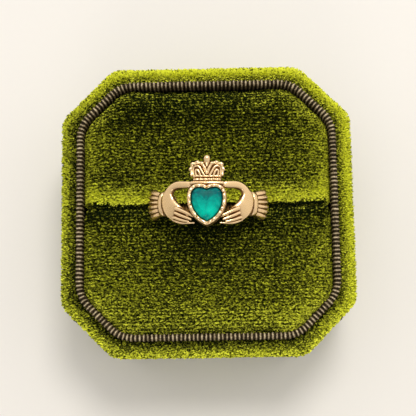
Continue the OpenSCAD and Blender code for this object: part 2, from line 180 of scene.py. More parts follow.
class StoneSizes(bpy.types.PropertyGroup):
    """Sizes and colours of the heart stone"""

    width: length("Width", "Width of the heart", 5.2)
    length: length("Length", "Length from the lobes to the tip", 5.6)
    side_radius: length("Side radius", "Radius of the long sides", 4.2)
    pavilion: length("Pavilion", "Depth under the girdle", 1.9)
    facets: length("Crown facets", "Height over the girdle", 0.65)
    table: share("Table", "Share of the outline that the table takes", 0.62)
    gap: length("Gap", "Gap round the stone", 0.06)
    # upper to lower is a painted glow through the stone; the misty colour is a painted hazy reflection under
    # the lobes
    upper: tint("Upper", "Colour near the lobes", (0.0, 0.125, 0.135))
    misty_reflection: tint("Misty reflection", "Colour of the cloud under the lobes", (0.02, 0.13, 0.12))
    lower: tint("Lower", "Colour near the tip", (0.0, 0.70, 0.49))


class StageLook(bpy.types.PropertyGroup):
    """The plain floor, the studio light and the camera"""

    paper: tint("Floor", "Colour of the floor", (0.82, 0.793, 0.755))
    key: FloatProperty(name="Key light", description="Power of the large lamp", default=0.95, unit="POWER")
    fill: FloatProperty(name="Sky", description="Strength of the even light all round", default=0.78)
    height: length("Camera height", "Height of the camera above the rim", 170)


class RingBoxSettings(bpy.types.PropertyGroup):
    """All settings of the ring in its box"""

    box: PointerProperty(type=BoxSizes)
    pads: PointerProperty(type=PadSizes)
    pile: PointerProperty(type=PileLook)
    ring: PointerProperty(type=RingSizes)
    stone: PointerProperty(type=StoneSizes)
    stage: PointerProperty(type=StageLook)


def in_mm(group):
    """A group's values, with its lengths in millimetres."""
    values = {}
    for prop in group.bl_rna.properties:
        if prop.identifier not in ("rna_type", "name"):
            value = getattr(group, prop.identifier)
            values[prop.identifier] = value / MM if getattr(prop, "unit", "") == "LENGTH" else value
    return SimpleNamespace(**values)


# Shapes


def unit(v):
    v = np.asarray(v, float)
    return v / np.maximum(np.linalg.norm(v, axis=-1, keepdims=True), 1e-12)


def held(values):
    """Values held from 0 to 1."""
    return np.clip(values, 0, 1)


def hill(values, middle, wide):
    """A soft hill, 1 at its middle."""
    return np.exp(-(((values - middle) / wide) ** 2))


def smooth_rows(rows, steps):
    """A table of rows with smooth steps put in between."""
    rows = [np.asarray(r, float) for r in rows]
    last, out = len(rows) - 1, []
    for i in range(last):
        a, b, c, d = rows[max(i - 1, 0)], rows[i], rows[i + 1], rows[min(i + 2, last)]
        slope, bend, twist = c - a, 2 * a - 5 * b + 4 * c - d, 3 * (b - c) + d - a
        for u in np.arange(steps) / steps:
            out.append(b + slope * u / 2 + bend * u * u / 2 + twist * u**3 / 2)
    return [*out, rows[last]]


class Form:
    """Points and faces gathered from closed shapes."""

    def __init__(self):
        self.points, self.faces, self.count = [], [], 0

    def add(self, points, faces):
        self.points.append(np.asarray(points, float))
        self.faces += [[self.count + v for v in f] for f in faces]
        self.count += len(points)

    def loft(self, rings, closed=False):
        """A skin through rings of points, capped at both ends or joined end to end. Seen looking back along
        the way the rings go, each ring turns counter-clockwise."""
        rings = np.asarray(rings, float)
        m, n = rings.shape[:2]
        i, j = np.meshgrid(np.arange(m if closed else m - 1), np.arange(n), indexing="ij")
        a, b, k = i * n, ((i + 1) % m) * n, (j + 1) % n
        faces = np.stack([a + j, a + k, b + k, b + j], -1).reshape(-1, 4).tolist()
        points = rings.reshape(-1, 3)
        if not closed:
            points = np.vstack([points, rings[0].mean(0), rings[-1].mean(0)])
            for j in range(n):
                k = (j + 1) % n
                faces += [[m * n, k, j], [m * n + 1, (m - 1) * n + j, (m - 1) * n + k]]
        self.add(points, faces)

    def ball(self, centre, radius, sides=10):
        rings = []
        for lat in np.linspace(-80, 80, sides - 3):
            a = np.radians(np.arange(sides) * 360 / sides)
            r, z = radius * math.cos(math.radians(lat)), radius * math.sin(math.radians(lat))
            rings.append(np.stack([r * np.cos(a), r * np.sin(a), np.full(sides, z)], -1) + centre)
        self.loft(rings)

    def mirrored(self):
        """Adds a copy of everything, mirrored across the ring's middle plane."""
        points, faces = np.vstack(self.points) * (-1, 1, 1), [f[::-1] for f in self.faces]
        self.add(points, faces)

    def mesh(self, name, scale=MM):
        mesh = bpy.data.meshes.new(name)
        mesh.from_pydata((np.vstack(self.points) * scale).tolist(), [], self.faces)
        mesh.update()
        return mesh


def coordinates(mesh):
    co = np.empty(len(mesh.vertices) * 3, np.float32)
    mesh.vertices.foreach_get("co", co)
    return co.reshape(-1, 3).astype(float)


def set_coordinates(mesh, co):
    mesh.vertices.foreach_set("co", np.asarray(co, np.float32).ravel())
    mesh.update()


def normals_of(mesh):
    n = np.empty(len(mesh.vertices) * 3, np.float32)
    mesh.vertex_normals.foreach_get("vector", n)
    return n.reshape(-1, 3).astype(float)


def set_value(mesh, name, values):
    """Stores one number for each vertex."""
    layer = mesh.attributes.get(name) or mesh.attributes.new(name, "FLOAT", "POINT")
    layer.data.foreach_set("value", np.asarray(values, np.float32))


def set_values(mesh, **layers):
    for name, values in layers.items():
        set_value(mesh, name, values)


def edges_of(mesh):
    e = np.empty(len(mesh.edges) * 2, np.int32)
    mesh.edges.foreach_get("vertices", e)
    return e.reshape(-1, 2)


def relaxed(values, edges, rounds, factor=0.5):
    """Values at the vertices, evened out along the edges."""
    values = np.array(values, float).reshape(len(values), -1)
    count = np.bincount(edges.ravel(), minlength=len(values))[:, None]
    for _ in range(rounds):
        total = np.zeros_like(values)
        for c in range(values.shape[1]):
            total[:, c] = np.bincount(edges[:, 0], values[edges[:, 1], c], len(values))
            total[:, c] += np.bincount(edges[:, 1], values[edges[:, 0], c], len(values))
        values += factor * (total / np.maximum(count, 1) - values)
    return values


def new_object(name, mesh, smooth=True):
    obj = bpy.data.objects.new(name, mesh)
    bpy.context.scene.collection.objects.link(obj)
    mesh.polygons.foreach_set("use_smooth", [smooth] * len(mesh.polygons))
    return obj


def settle(obj):
    """Turns an object with its modifiers into a plain mesh."""
    bpy.context.view_layer.update()
    dg = bpy.context.evaluated_depsgraph_get()
    mesh = bpy.data.meshes.new_from_object(obj.evaluated_get(dg), preserve_all_data_layers=True, depsgraph=dg)
    old = obj.data
    obj.modifiers.clear()
    obj.data = mesh
    bpy.data.meshes.remove(old)
    mesh.name = obj.name
    return obj


def discard(obj):
    data = obj.data
    bpy.data.objects.remove(obj)
    bpy.data.meshes.remove(data)


def stand_for(obj, node):
    """The piece takes the CAD node's place."""
    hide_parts(node)
    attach(obj, "root")


# Outlines of the box


def rounded(corners, radii, steps):
    """A counter-clockwise convex outline with an arc at each corner."""
    corners, out = np.asarray(corners, float), []
    n = len(corners)
    for i, p in enumerate(corners):
        back, ahead = unit(corners[i - 1] - p), unit(corners[(i + 1) % n] - p)
        half = math.acos(np.dot(back, ahead)) / 2
        c = p + unit(back + ahead) * radii[i] / math.sin(half)
        v = p + back * radii[i] / math.tan(half) - c
        for k in range(steps + 1):
            a = (math.pi - 2 * half) * k / steps
            out.append(c + [v[0] * math.cos(a) - v[1] * math.sin(a), v[0] * math.sin(a) + v[1] * math.cos(a)])
    return np.array(out)


def octagon(box, inset):
    """The box's eight corners, moved inwards, counter-clockwise from the right side's back end."""
    x, y, c = box.width / 2 - inset, box.depth / 2 - inset, box.chamfer - inset * (2 - math.sqrt(2))
    right, top = [[x, y - c], [x - c, y]], [[-x + c, y], [-x, y - c]]
    return right + top + [[-x, -y + c], [-x + c, -y], [x - c, -y], [x, -y + c]]


def corner(box, inset):
    """The corners' rounding, which grows from outside the wall to the collar and shrinks inside that."""
    cavity = box.wall + box.fit
    if inset < cavity:
        return box.corner_radius + (box.inner_corner - box.corner_radius) * inset / cavity
    return box.inner_corner - inset + cavity


LEAST_ROUNDING = 0.8  # millimetres, of a corner far inside the box


def box_ring(box, inset, z, steps=8):
    """The box's rounded outline at a height."""
    flat = rounded(octagon(box, inset), [max(corner(box, inset), LEAST_ROUNDING)] * 8, steps)
    return np.column_stack([flat, np.full(len(flat), z)])


# Node building


class Wires:
    """Adds nodes to a tree, with inputs given as sockets or plain values."""

    def __init__(self, tree):
        self.tree = tree

    def feed(self, socket, value):
        if isinstance(value, bpy.types.NodeSocket):
            self.tree.links.new(value, socket)
        else:
            socket.default_value = value

    def add(self, kind, inputs=None, **settings):
        node = self.tree.nodes.new(kind)
        for key, value in settings.items():
            setattr(node, key, value)
        for key, value in (inputs or {}).items():
            self.feed(node.inputs[key], value)
        return node

    def math(self, operation, a, b=0.0, clamp=False):
        node = self.add("ShaderNodeMath", {0: a, 1: b}, operation=operation, use_clamp=clamp)
        return node.outputs[0]

    def plus(self, a, b, clamp=False):
        return self.math("ADD", a, b, clamp)

    def minus(self, a, b, clamp=False):
        return self.math("SUBTRACT", a, b, clamp)

    def times(self, a, b, clamp=False):
        return self.math("MULTIPLY", a, b, clamp)

    def swing(self, value, amount=1.0):
        """A number from 0 to 1, turned to one that swings to both sides of nought."""
        return self.times(self.minus(value, 0.5), amount)

    def power(self, value, exponent):
        """A power of a number, where numbers below nought count as nought."""
        return self.math("POWER", self.math("MAXIMUM", value, 0.0), exponent)

    def vector(self, operation, a, b=(0, 0, 0)):
        node = self.add("ShaderNodeVectorMath", {0: a, 1: b}, operation=operation)
        return node.outputs["Value"] if operation in ("DOT_PRODUCT", "LENGTH") else node.outputs[0]

    def join(self, x=0.0, y=0.0, z=0.0):
        """A vector of three numbers."""
        return self.add("ShaderNodeCombineXYZ", {0: x, 1: y, 2: z}).outputs[0]

    def split(self, vector):
        return self.add("ShaderNodeSeparateXYZ", {0: vector}).outputs

    def mix(self, factor, a, b):
        """A number between a and b."""
        inputs = {0: factor, 2: a, 3: b}
        return self.add("ShaderNodeMix", inputs, data_type="FLOAT", clamp_factor=True).outputs[0]

    def blend(self, factor, a, b):
        """A colour between a and b."""
        node = self.add("ShaderNodeMix", data_type="RGBA", blend_type="MIX", clamp_factor=True)
        for socket, value in ((node.inputs[0], factor), (node.inputs[6], a), (node.inputs[7], b)):
            if not isinstance(value, (bpy.types.NodeSocket, float, int)):
                value = (*value[:3], 1.0)
            self.feed(socket, value)
        return node.outputs[2]

    def noise(self, where, scale, detail=2.0, roughness=0.5):
        inputs = {"Vector": where, "Scale": scale, "Detail": detail, "Roughness": roughness}
        return self.add("ShaderNodeTexNoise", inputs).outputs[0]

    def reach(self, value, low, high, to_low=0.0, to_high=1.0):
        """A value between low and high, stretched to another range and held there."""
        return self.add("ShaderNodeMapRange", {0: value, 1: low, 2: high, 3: to_low, 4: to_high}).outputs[0]

    def attribute(self, name):
        """In a material, the number that the mesh stores under a name."""
        return self.add("ShaderNodeAttribute", attribute_name=name).outputs["Fac"]

    def stored(self, name):
        """In Geometry Nodes, the number that the mesh stores under a name."""
        inputs = {"Name": name}
        return self.add("GeometryNodeInputNamedAttribute", inputs, data_type="FLOAT").outputs[0]

    def chance(self, seed, low, high):
        """A random number for each point."""
        node = self.add("FunctionNodeRandomValue", data_type="FLOAT")
        for key, value in (("Min", low), ("Max", high), ("Seed", seed)):
            self.feed(next(s for s in node.inputs if s.name == key and s.enabled), value)
        return next(s for s in node.outputs if s.enabled)

    def aligned(self, vector, axis, start=None, pivot="AUTO"):
        """A rotation that turns an axis along a vector."""
        inputs = {"Vector": vector} if start is None else {"Rotation": start, "Vector": vector}
        node = self.add("FunctionNodeAlignRotationToVector", inputs, axis=axis, pivot_axis=pivot)
        return node.outputs[0]

    def tilted(self, rotation, euler):
        """A rotation, turned further about its own axes."""
        tilt = self.add("FunctionNodeEulerToRotation", {0: euler}).outputs[0]
        inputs = {0: rotation, 1: tilt}
        return self.add("FunctionNodeRotateRotation", inputs, rotation_space="LOCAL").outputs[0]

    def copies(self, points, shape, rotation, scale, tone):
        """A copy of a shape on each point, with its own tone stored on it."""
        shape = self.add("GeometryNodeObjectInfo", {"Object": shape}).outputs["Geometry"]
        inputs = {"Points": points, "Instance": shape, "Rotation": rotation, "Scale": scale}
        copies = self.add("GeometryNodeInstanceOnPoints", inputs).outputs[0]
        inputs = {"Geometry": copies, "Name": "tone", "Value": tone}
        settings = {"data_type": "FLOAT", "domain": "INSTANCE"}
        return self.add("GeometryNodeStoreNamedAttribute", inputs, **settings).outputs[0]


MOST_TUFTS = 4.0e8  # to a square metre, far more than the spacing lets through


def geometry_tree(name, sockets):
    """A Geometry Nodes tree with named inputs, its group input and a function that ends it."""
    tree = bpy.data.node_groups.new(name, "GeometryNodeTree")
    tree.is_modifier = True
    tree.interface.new_socket("Geometry", in_out="INPUT", socket_type="NodeSocketGeometry")
    for label, kind, default in sockets:
        socket = tree.interface.new_socket(label, in_out="INPUT", socket_type="NodeSocket" + kind)
        if default is not None:
            socket.default_value = default
    tree.interface.new_socket("Geometry", in_out="OUTPUT", socket_type="NodeSocketGeometry")
    wires = Wires(tree)
    given = wires.add("NodeGroupInput").outputs
    out = wires.add("NodeGroupOutput")

    def end(geometry):
        real = wires.add("GeometryNodeRealizeInstances", {"Geometry": geometry}).outputs[0]
        inputs = {"Geometry": real, "Material": given["Material"]}
        tree.links.new(wires.add("GeometryNodeSetMaterial", inputs).outputs[0], out.inputs[0])

    return tree, wires, given, end


def through_nodes(obj, tree, values):
    """Runs an object through a Geometry Nodes tree and keeps the result as its plain mesh."""
    modifier = obj.modifiers.new(tree.name, "NODES")
    modifier.node_group = tree
    for item in tree.interface.items_tree:
        if item.item_type == "SOCKET" and item.in_out == "INPUT" and item.name in values:
            modifier[item.identifier] = values[item.name]
    return settle(obj)


def pile_tree():
    """Rows of tufts standing on a cloth. The cloth carries pile (how densely), painted light (how bright its
    tufts are painted, painted light and shade), flat (how level) and trim (how long) at its vertices."""
    if "Velvet pile" in bpy.data.node_groups:
        return bpy.data.node_groups["Velvet pile"]
    tree, w, given, end = geometry_tree(
        "Velvet pile",
        [
            ("Tuft", "Object", None),
            ("Material", "Material", None),
            ("Spacing", "Float", 0.00013),
            ("Tuft width", "Float", 0.0003),
            ("Tuft length", "Float", 0.0008),
            ("Row pitch", "Float", 0.0006),
            ("Row pull", "Float", 0.6),
            ("Lean", "Float", 0.5),
            ("Seed", "Int", 7),
        ],
    )

    def chance(low, high, offset):
        return w.chance(w.plus(given["Seed"], offset), low, high)

    scatter = w.add(
        "GeometryNodeDistributePointsOnFaces",
        {
            "Mesh": given["Geometry"],
            "Distance Min": given["Spacing"],
            "Density Max": MOST_TUFTS,
            "Density Factor": w.stored("pile"),
            "Seed": given["Seed"],
        },
        distribute_method="POISSON",
    )

    # level tufts move towards the middle of their row
    place = w.add("GeometryNodeInputPosition").outputs[0]
    y = w.split(place)[1]
    row = w.math("DIVIDE", y, given["Row pitch"])
    middle = w.times(w.plus(w.math("FLOOR", row), 0.5), given["Row pitch"])
    shift = w.times(w.minus(middle, y), w.times(given["Row pull"], w.stored("flat")))
    inputs = {"Geometry": scatter.outputs["Points"], "Offset": w.join(y=shift)}
    points = w.add("GeometryNodeSetPosition", inputs).outputs[0]

    # they lean in brushed patches, each with a tilt, a turn and a size of its own
    upright = w.aligned(scatter.outputs["Normal"], "Z")
    along = w.aligned((1.0, 0.0, 0.0), "X", upright, "Z")
    brushed, ruffled = w.swing(w.noise(place, LEAN_SCALE)), w.swing(w.noise(place, RUFFLE_SCALE, 1.0))
    lean_x = w.times(w.plus(w.times(brushed, 1.6), ruffled), given["Lean"])
    lean_x = w.plus(lean_x, chance(-0.35, 0.35, 1))
    lean_y = w.plus(w.times(ruffled, given["Lean"]), chance(-0.45, 0.45, 2))
    facing = w.tilted(along, w.join(lean_x, lean_y, chance(-0.7, 0.7, 3)))
    trim = w.stored("trim")
    wide = w.times(w.times(given["Tuft width"], chance(0.7, 1.3, 4)), w.reach(trim, 0, 1, 0.5, 1))
    tall = w.times(w.times(given["Tuft length"], chance(0.75, 1.2, 5)), trim)
    tufts = w.copies(points, given["Tuft"], facing, w.join(wide, wide, tall), chance(0.0, 1.0, 6))

    cloth_and_tufts = w.add("GeometryNodeJoinGeometry")
    for geometry in (given["Geometry"], tufts):
        tree.links.new(geometry, cloth_and_tufts.inputs[0])
    end(cloth_and_tufts.outputs[0])
    return tree


def tuft_object(root=0.0):
    """One tuft: a closed wedge of four faces, whose upper edge lies across its lower one. The root value
    gives how much of the tip's colour its foot has, the foot being otherwise painted dark as shade."""
    points = np.array([(0, -0.42, -0.12), (0, 0.42, -0.12), (-0.5, 0.0, 1.0), (0.5, 0.0, 0.9)])
    faces = []
    for f in ([0, 1, 2], [0, 1, 3], [0, 2, 3], [1, 2, 3]):
        a, b, c = points[f]
        faces.append(f if np.dot(np.cross(b - a, c - a), a - points.mean(0)) > 0 else f[::-1])
    form = Form()
    form.add(points, faces)
    obj = new_object("tuft", form.mesh("tuft", 1.0), smooth=False)
    set_value(obj.data, "tip", [root, root, 1, 1])
    return obj


def rib_tree():
    """Ribs standing side by side on a closed path."""
    tree, w, given, end = geometry_tree(
        "Ribbon ribs",
        [
            ("Rib", "Object", None),
            ("Material", "Material", None),
            ("Count", "Int", 212),
            ("Unevenness", "Float", 0.05),
            ("Seed", "Int", 3),
        ],
    )

    def chance(offset):
        return w.times(w.chance(w.plus(given["Seed"], offset), -1.0, 1.0), given["Unevenness"])

    curve = w.add("GeometryNodeMeshToCurve", {"Mesh": given["Geometry"]}).outputs[0]
    even = w.add("GeometryNodeResampleCurve", {"Curve": curve, "Count": given["Count"]}).outputs[0]
    points = w.add("GeometryNodeCurveToPoints", {"Curve": even}, mode="EVALUATED")
    upright = w.aligned((0.0, 0.0, 1.0), "Z", w.aligned(points.outputs["Tangent"], "Y"), "Y")
    facing = w.tilted(upright, w.join(x=chance(1), z=chance(2)))
    size = w.join(w.plus(chance(3), 1.0), w.plus(chance(4), 1.0), 1.0)
    tone = w.math("DIVIDE", chance(5), given["Unevenness"])
    end(w.copies(points.outputs[0], given["Rib"], facing, size, tone))
    return tree


# Materials


def new_material(name):
    """A new material with its wires, its shader and the coordinates that its patterns follow."""
    material = bpy.data.materials.new(name)
    material.use_nodes = True
    w = Wires(material.node_tree)
    shader = material.node_tree.nodes["Principled BSDF"]
    where = w.add("ShaderNodeTexCoord").outputs["Object"]
    return material, w, shader, where


def plain_inputs(shader, values):
    """Sets what is the same all over the surface."""
    for name, value in values.items():
        shader.inputs[name].default_value = value


def roughened(w, shader, height, strength, depth):
    """Raises the surface by a pattern, with the depth in millimetres."""
    inputs = {"Strength": strength, "Distance": depth * MM, "Height": height}
    w.feed(shader.inputs["Normal"], w.add("ShaderNodeBump", inputs).outputs[0])


def shader_group(name, inputs, outputs):
    """A shader node group with named sockets; returns it, its wires, its inputs and its output node."""
    tree = bpy.data.node_groups.new(name, "ShaderNodeTree")
    for direction, sockets in (("INPUT", inputs), ("OUTPUT", outputs)):
        for label, kind in sockets:
            tree.interface.new_socket(label, in_out=direction, socket_type="NodeSocket" + kind)
    w = Wires(tree)
    return tree, w, w.add("NodeGroupInput").outputs, w.add("NodeGroupOutput").inputs


EVEN_STEPS = 2.2  # power that makes steps of light look even


def pile_group():
    """Colour of a tuft from its root, painted dark as the shade between tufts, to its tip, whose brightness
    is the painted light and shade stored on the cloth, with brushed patches, uneven rows, specks drawn out
    along the rows and a tone for each tuft. Brightness is mixed in even steps to the eye."""
    if "Pile colour" in bpy.data.node_groups:
        return bpy.data.node_groups["Pile colour"]
    tree, w, given, out = shader_group(
        "Pile colour",
        [
            ("Root", "Color"),
            ("Dark tip", "Color"),
            ("Bright tip", "Color"),
            ("Patches", "Float"),
            ("Specks", "Float"),
            ("Rows", "Float"),
            ("Row pitch", "Float"),
            ("Coordinates", "Vector"),
            ("Tip", "Float"),
            ("Tone", "Float"),
            ("Nap", "Float"),
        ],
        [("Color", "Color")],
    )
    where = given["Coordinates"]
    drawn = w.vector("MULTIPLY", where, (0.65, 1.0, 1.0))
    broad, streaks = w.swing(w.noise(where, PATCH_SCALE, 2.0, 0.6)), w.noise(drawn, STREAK_SCALE, 0.0)
    fine = w.noise(drawn, GRAIN_SCALE, 1.0)
    specks = w.plus(w.plus(w.swing(fine, 0.85), w.swing(streaks, 0.8)), w.swing(given["Tone"], 0.3))
    across = w.math("DIVIDE", w.split(where)[1], given["Row pitch"])
    wavy = w.plus(w.times(across, 2 * math.pi), w.times(w.noise(where, WAVE_SCALE, 1.0), 5.0))

    level = w.plus(given["Nap"], w.times(broad, given["Patches"]))
    level = w.plus(level, w.times(specks, given["Specks"]))
    level = w.plus(level, w.times(w.math("SINE", wavy), given["Rows"]))
    tip = w.blend(w.power(level, EVEN_STEPS), given["Dark tip"], given["Bright tip"])
    # roots are painted shade, lifted towards the tip's colour where the painted light is strong
    root = w.blend(w.reach(given["Nap"], 0.4, 1.2, 0.0, 0.6), given["Root"], tip)
    tree.links.new(w.blend(w.power(given["Tip"], 1.3), root, tip), out["Color"])
    return tree


def velvet(name, look, patches, specks, rows):
    """Velvet whose light and dark are painted: painted light and shade stored on the mesh, the pile's own
    pattern and painted shade at the tufts' roots.
    """
    if name in bpy.data.materials:
        return bpy.data.materials[name]
    material, w, shader, where = new_material(name)
    inputs = {
        "Root": (*look.root, 1),
        "Dark tip": (*look.dark, 1),
        "Bright tip": (*look.bright, 1),
        "Patches": patches,
        "Specks": specks,
        "Rows": rows,
        "Row pitch": look.row_pitch * MM,
        "Coordinates": where,
        "Tip": w.attribute("tip"),
        "Tone": w.attribute("tone"),
        "Nap": w.attribute("nap"),
    }
    pile = w.add("ShaderNodeGroup", node_tree=pile_group())
    for key, value in inputs.items():
        w.feed(pile.inputs[key], value)
    w.feed(shader.inputs["Base Color"], pile.outputs["Color"])
    w.feed(shader.inputs["Roughness"], w.mix(w.attribute("tone"), 0.6, 0.85))
    sheen = {"Sheen Weight": 0.06, "Sheen Roughness": 0.4, "Sheen Tint": (0.8, 0.85, 0.2, 1)}
    plain_inputs(shader, {"Specular IOR Level": 0.1, **sheen})
    return material


def ribbon_cloth():
    """Taupe grosgrain: brown ribs, painted dark between them as shade, with broken pale threads along each
    crest that are partly pale thread and partly a painted highlight.
    """
    material, w, shader, where = new_material("grosgrain ribbon")
    dark, brown, pale = (0.008, 0.0045, 0.0015), (0.115, 0.082, 0.038), (0.72, 0.60, 0.38)
    threads = w.noise(where, THREAD_SCALE, 3.0, 0.7)
    level = w.plus(w.attribute("crest"), w.swing(threads, 1.7))
    level = w.plus(level, w.times(w.attribute("tone"), 0.1))
    # painted shade between the ribs, the ribs' brown, then pale thread with a painted highlight on the crests
    colour = w.blend(w.reach(level, 0.05, 0.5), dark, brown)
    colour = w.blend(w.reach(level, 0.55, 1.3), colour, pale)
    w.feed(shader.inputs["Base Color"], colour)
    w.feed(shader.inputs["Roughness"], w.mix(threads, 0.5, 0.75))
    plain_inputs(shader, {"Specular IOR Level": 0.12})
    roughened(w, shader, threads, 0.5, 0.04)
    return material


def cast_gold(ring):
    """Satin gold: tarnish and painted shade in the recesses, painted dark reflections on steep slopes,
    rougher in both, a painted highlight colour and less roughness on the ridges, with a fine casting grain.
    """
    material, w, shader, where = new_material("cast gold")
    recess, ridge, steep = w.attribute("recess"), w.attribute("ridge"), w.attribute("steep")
    cloud, fine = w.noise(where, CLOUD_SCALE, 3.0, 0.6), w.noise(where, GRAIN_SCALE, 3.0, 0.6)
    # recesses take tarnish with painted shade, and steep slopes a painted dark reflection, in the recess
    # colour
    tarnish_and_painted_shade = w.reach(w.plus(recess, w.swing(cloud, 0.3)), 0.04, 0.46)
    tarnish_and_painted_shade = w.math("MAXIMUM", tarnish_and_painted_shade, w.times(steep, 0.75))
    dull, bright = (tuple(min(c * much, 1) for c in ring.gold) for much in (0.93, 1.06))
    body = w.blend(cloud, dull, bright)
    # ridges and the band's outside take a painted highlight colour
    body = w.blend(w.times(ridge, 0.6, clamp=True), body, ring.polished)
    w.feed(shader.inputs["Base Color"], w.blend(tarnish_and_painted_shade, body, ring.tarnish_and_shade))
    rough = w.plus(w.mix(tarnish_and_painted_shade, 0.27, 0.5), w.swing(fine, 0.2))
    w.feed(shader.inputs["Roughness"], w.minus(rough, w.times(ridge, 0.08), clamp=True))
    plain_inputs(shader, {"Metallic": 1.0})
    roughened(w, shader, fine, 0.35, 0.02)
    return material


# [across, up, width, height, strength] of the stone's painted glows, painted highlight streak and painted
# shade at the tip, in millimetres from its middle
GLOWS = [
    (0.75, -1.5, 0.9, 0.8, 0.2),
    (-0.7, -1.4, 0.9, 0.9, 0.14),
    (1.7, 0.3, 0.7, 0.5, 0.1),
    (-1.9, 0.1, 0.6, 0.9, 0.08),
    (0.1, 1.85, 1.1, 0.22, 0.15),
    (0.0, -2.6, 0.9, 0.6, -0.3),
]


def green_stone(stone, turned, middle):
    """Heart stone: teal, with painted light: a painted grey hazy reflection under its lobes, a painted green
    glow on both sides of its keel towards the tip, a painted highlight streak, painted shade at the tip,
    glossy facets with randomly painted facet reflections, and a painted dark shade line along its girdle."""
    material, w, shader, where = new_material("heart stone")
    offset = w.vector("SUBTRACT", where, tuple(middle))
    across = w.vector("DOT_PRODUCT", offset, tuple(turned[:, 0] / MM))
    up = w.vector("DOT_PRODUCT", offset, tuple(turned[:, 1] / MM))
    cloud, wisps = w.noise(where, CLOUD_SCALE, 3.0, 0.6), w.noise(where, WISP_SCALE, 3.0, 0.65)
    mottled = w.plus(w.swing(cloud, 0.7), w.swing(wisps, 0.45))
    flat = w.join(across, up)

    def spot(x, y, wide, high):
        """A soft round patch inside the stone, 1 in its middle."""
        scaled = w.vector("MULTIPLY", w.vector("SUBTRACT", flat, (x, y, 0)), (1 / wide, 1 / high, 0))
        return w.reach(w.plus(w.vector("LENGTH", scaled), mottled), 1.15, 0.35)

    # painted glow: dark under the lobes, bright towards the tip
    glow = w.plus(w.reach(up, 1.7, -1.9, 0.02, 0.64), w.times(mottled, 0.9))
    for *patch, much in GLOWS:
        glow = w.plus(glow, w.times(spot(*patch), much))
    # random brightness per facet, painted facet reflections
    glow = w.plus(glow, w.times(w.attribute("facet"), 0.1), clamp=True)
    colour = w.blend(glow, stone.upper, stone.lower)
    # painted hazy reflection under the lobes
    colour = w.blend(w.times(spot(-0.05, 1.35, 1.6, 0.6), 0.75), colour, stone.misty_reflection)
    # painted shade line along the girdle, where the bezel's gap lies in shade
    colour = w.blend(w.math("POWER", w.attribute("edge"), 4.0), colour, (0.0, 0.012, 0.01))
    w.feed(shader.inputs["Base Color"], colour)
    glass = {"Roughness": 0.1, "IOR": 1.58, "Specular IOR Level": 0.04, "Transmission Weight": 0.12}
    plain_inputs(shader, glass)
    return material


# The velvet box


UNDER_WALL, UNDER_PAD, UNDER_RIBS = 0.45, 0.35, 0.2  # millimetres from the finished surface down to the cloth
BARE_FOOT = 1.5  # millimetres at the foot of the wall that have no pile


def coated(obj, pile, material, tuft_root=0.0, **changes):
    """Covers a cloth in pile, with changes to the pile's usual values."""
    tuft = tuft_object(tuft_root)
    values = {
        "Tuft": tuft,
        "Material": material,
        "Spacing": pile.spacing * MM,
        "Tuft width": pile.tuft_width * MM,
        "Tuft length": pile.tuft_length * MM,
        "Row pitch": pile.row_pitch * MM,
        "Row pull": pile.row_pull,
        "Lean": 0.5,
        "Seed": pile.seed,
    }
    through_nodes(obj, pile_tree(), {**values, **changes})
    discard(tuft)


def build_wall(box, pile):
    """The velvet wall: a lofted shell with a rolled rim, under a coat of pile."""
    roll, top = box.rim_radius - UNDER_WALL * 0.5, box.wall_height - UNDER_WALL
    rings, marks = [], []

    def ring(inset, z, density, nap, trim=1.0, cloth=0.0):
        """One ring of the shell: how densely its pile stands, how bright its pile is painted with painted
        light and shade, how long it is, and how much of the tufts' colour the cloth between them has, less of
        it being painted shade."""
        rings.append(box_ring(box, inset, z))
        marks.append((density, nap, trim, cloth))

    # painted light on the outside and the rolled rim, painted shade down the inner face towards the collar
    ring(1.0, 0, 0, 0.3)
    ring(0.75, 0.15, 0, 0.5, cloth=0.5)
    for z in np.linspace(0.8, box.wall_height - box.rim_radius - UNDER_WALL, 14):
        ring(UNDER_WALL, z, 0.3 if z > BARE_FOOT else 0, 0.8, 0.55, 0.8)
    for a in np.arange(15, 181, 15):
        c, s = math.cos(math.radians(a)), math.sin(math.radians(a))
        r = roll if a < 90 else box.wall - UNDER_WALL - roll
        inner = max(0.0, (a - 75) / 105)
        nap, trim, cloth = 0.84 - 0.78 * inner**0.8, 0.8 - 0.25 * inner, 0.8 * max(0.0, 1 - a / 60)
        ring(UNDER_WALL + roll - r * c, top - roll * (1 - s), 1.0, nap, trim, cloth)
    ring(box.wall - 0.02, box.wall_height - 2.4, 0.5, 0.15, 0.5)
    ring(box.wall, box.wall_height - 3.5, 0, 0.1)
    ring(box.wall, box.floor, 0, 0.1)
    form = Form()
    form.loft(rings)
    obj = new_object("velvet_wall", form.mesh("velvet_wall"))

    caps = np.zeros((2, 4))
    density, nap, trim, cloth = np.vstack([np.repeat(np.array(marks, float), len(rings[0]), 0), caps]).T
    flat = held(normals_of(obj.data)[:, 2]) ** 2
    place = coordinates(obj.data) / (MM * box.width / 2)
    # painted light: the level part of the rim is painted brightest at the back and on the right
    nap = nap + flat * (0.62 * held(place[:, 1]) ** 4 + 0.58 * held(place[:, 0]) ** 4)
    set_values(obj.data, pile=density, nap=nap, trim=trim, flat=flat, tip=cloth)
    changes = {"Spacing": pile.wall_spacing * MM, "Tuft width": pile.wall_tuft_width * MM, "Row pull": 0.0}
    coated(obj, pile, velvet("wall velvet", pile, 0.25, 2.4, 0.0), 0.4, **changes)
    stand_for(obj, "box_shell")


RIB_THICK, RIB_SIDES = 0.17, 10
RIB_LEG = (-2.6, -1.2)  # heights of a leg's ends, in millimetres from the middle of the collar's rounded top
OVER_TOP = [(math.cos(math.radians(a)), math.sin(math.radians(a))) for a in range(0, 181, 20)]


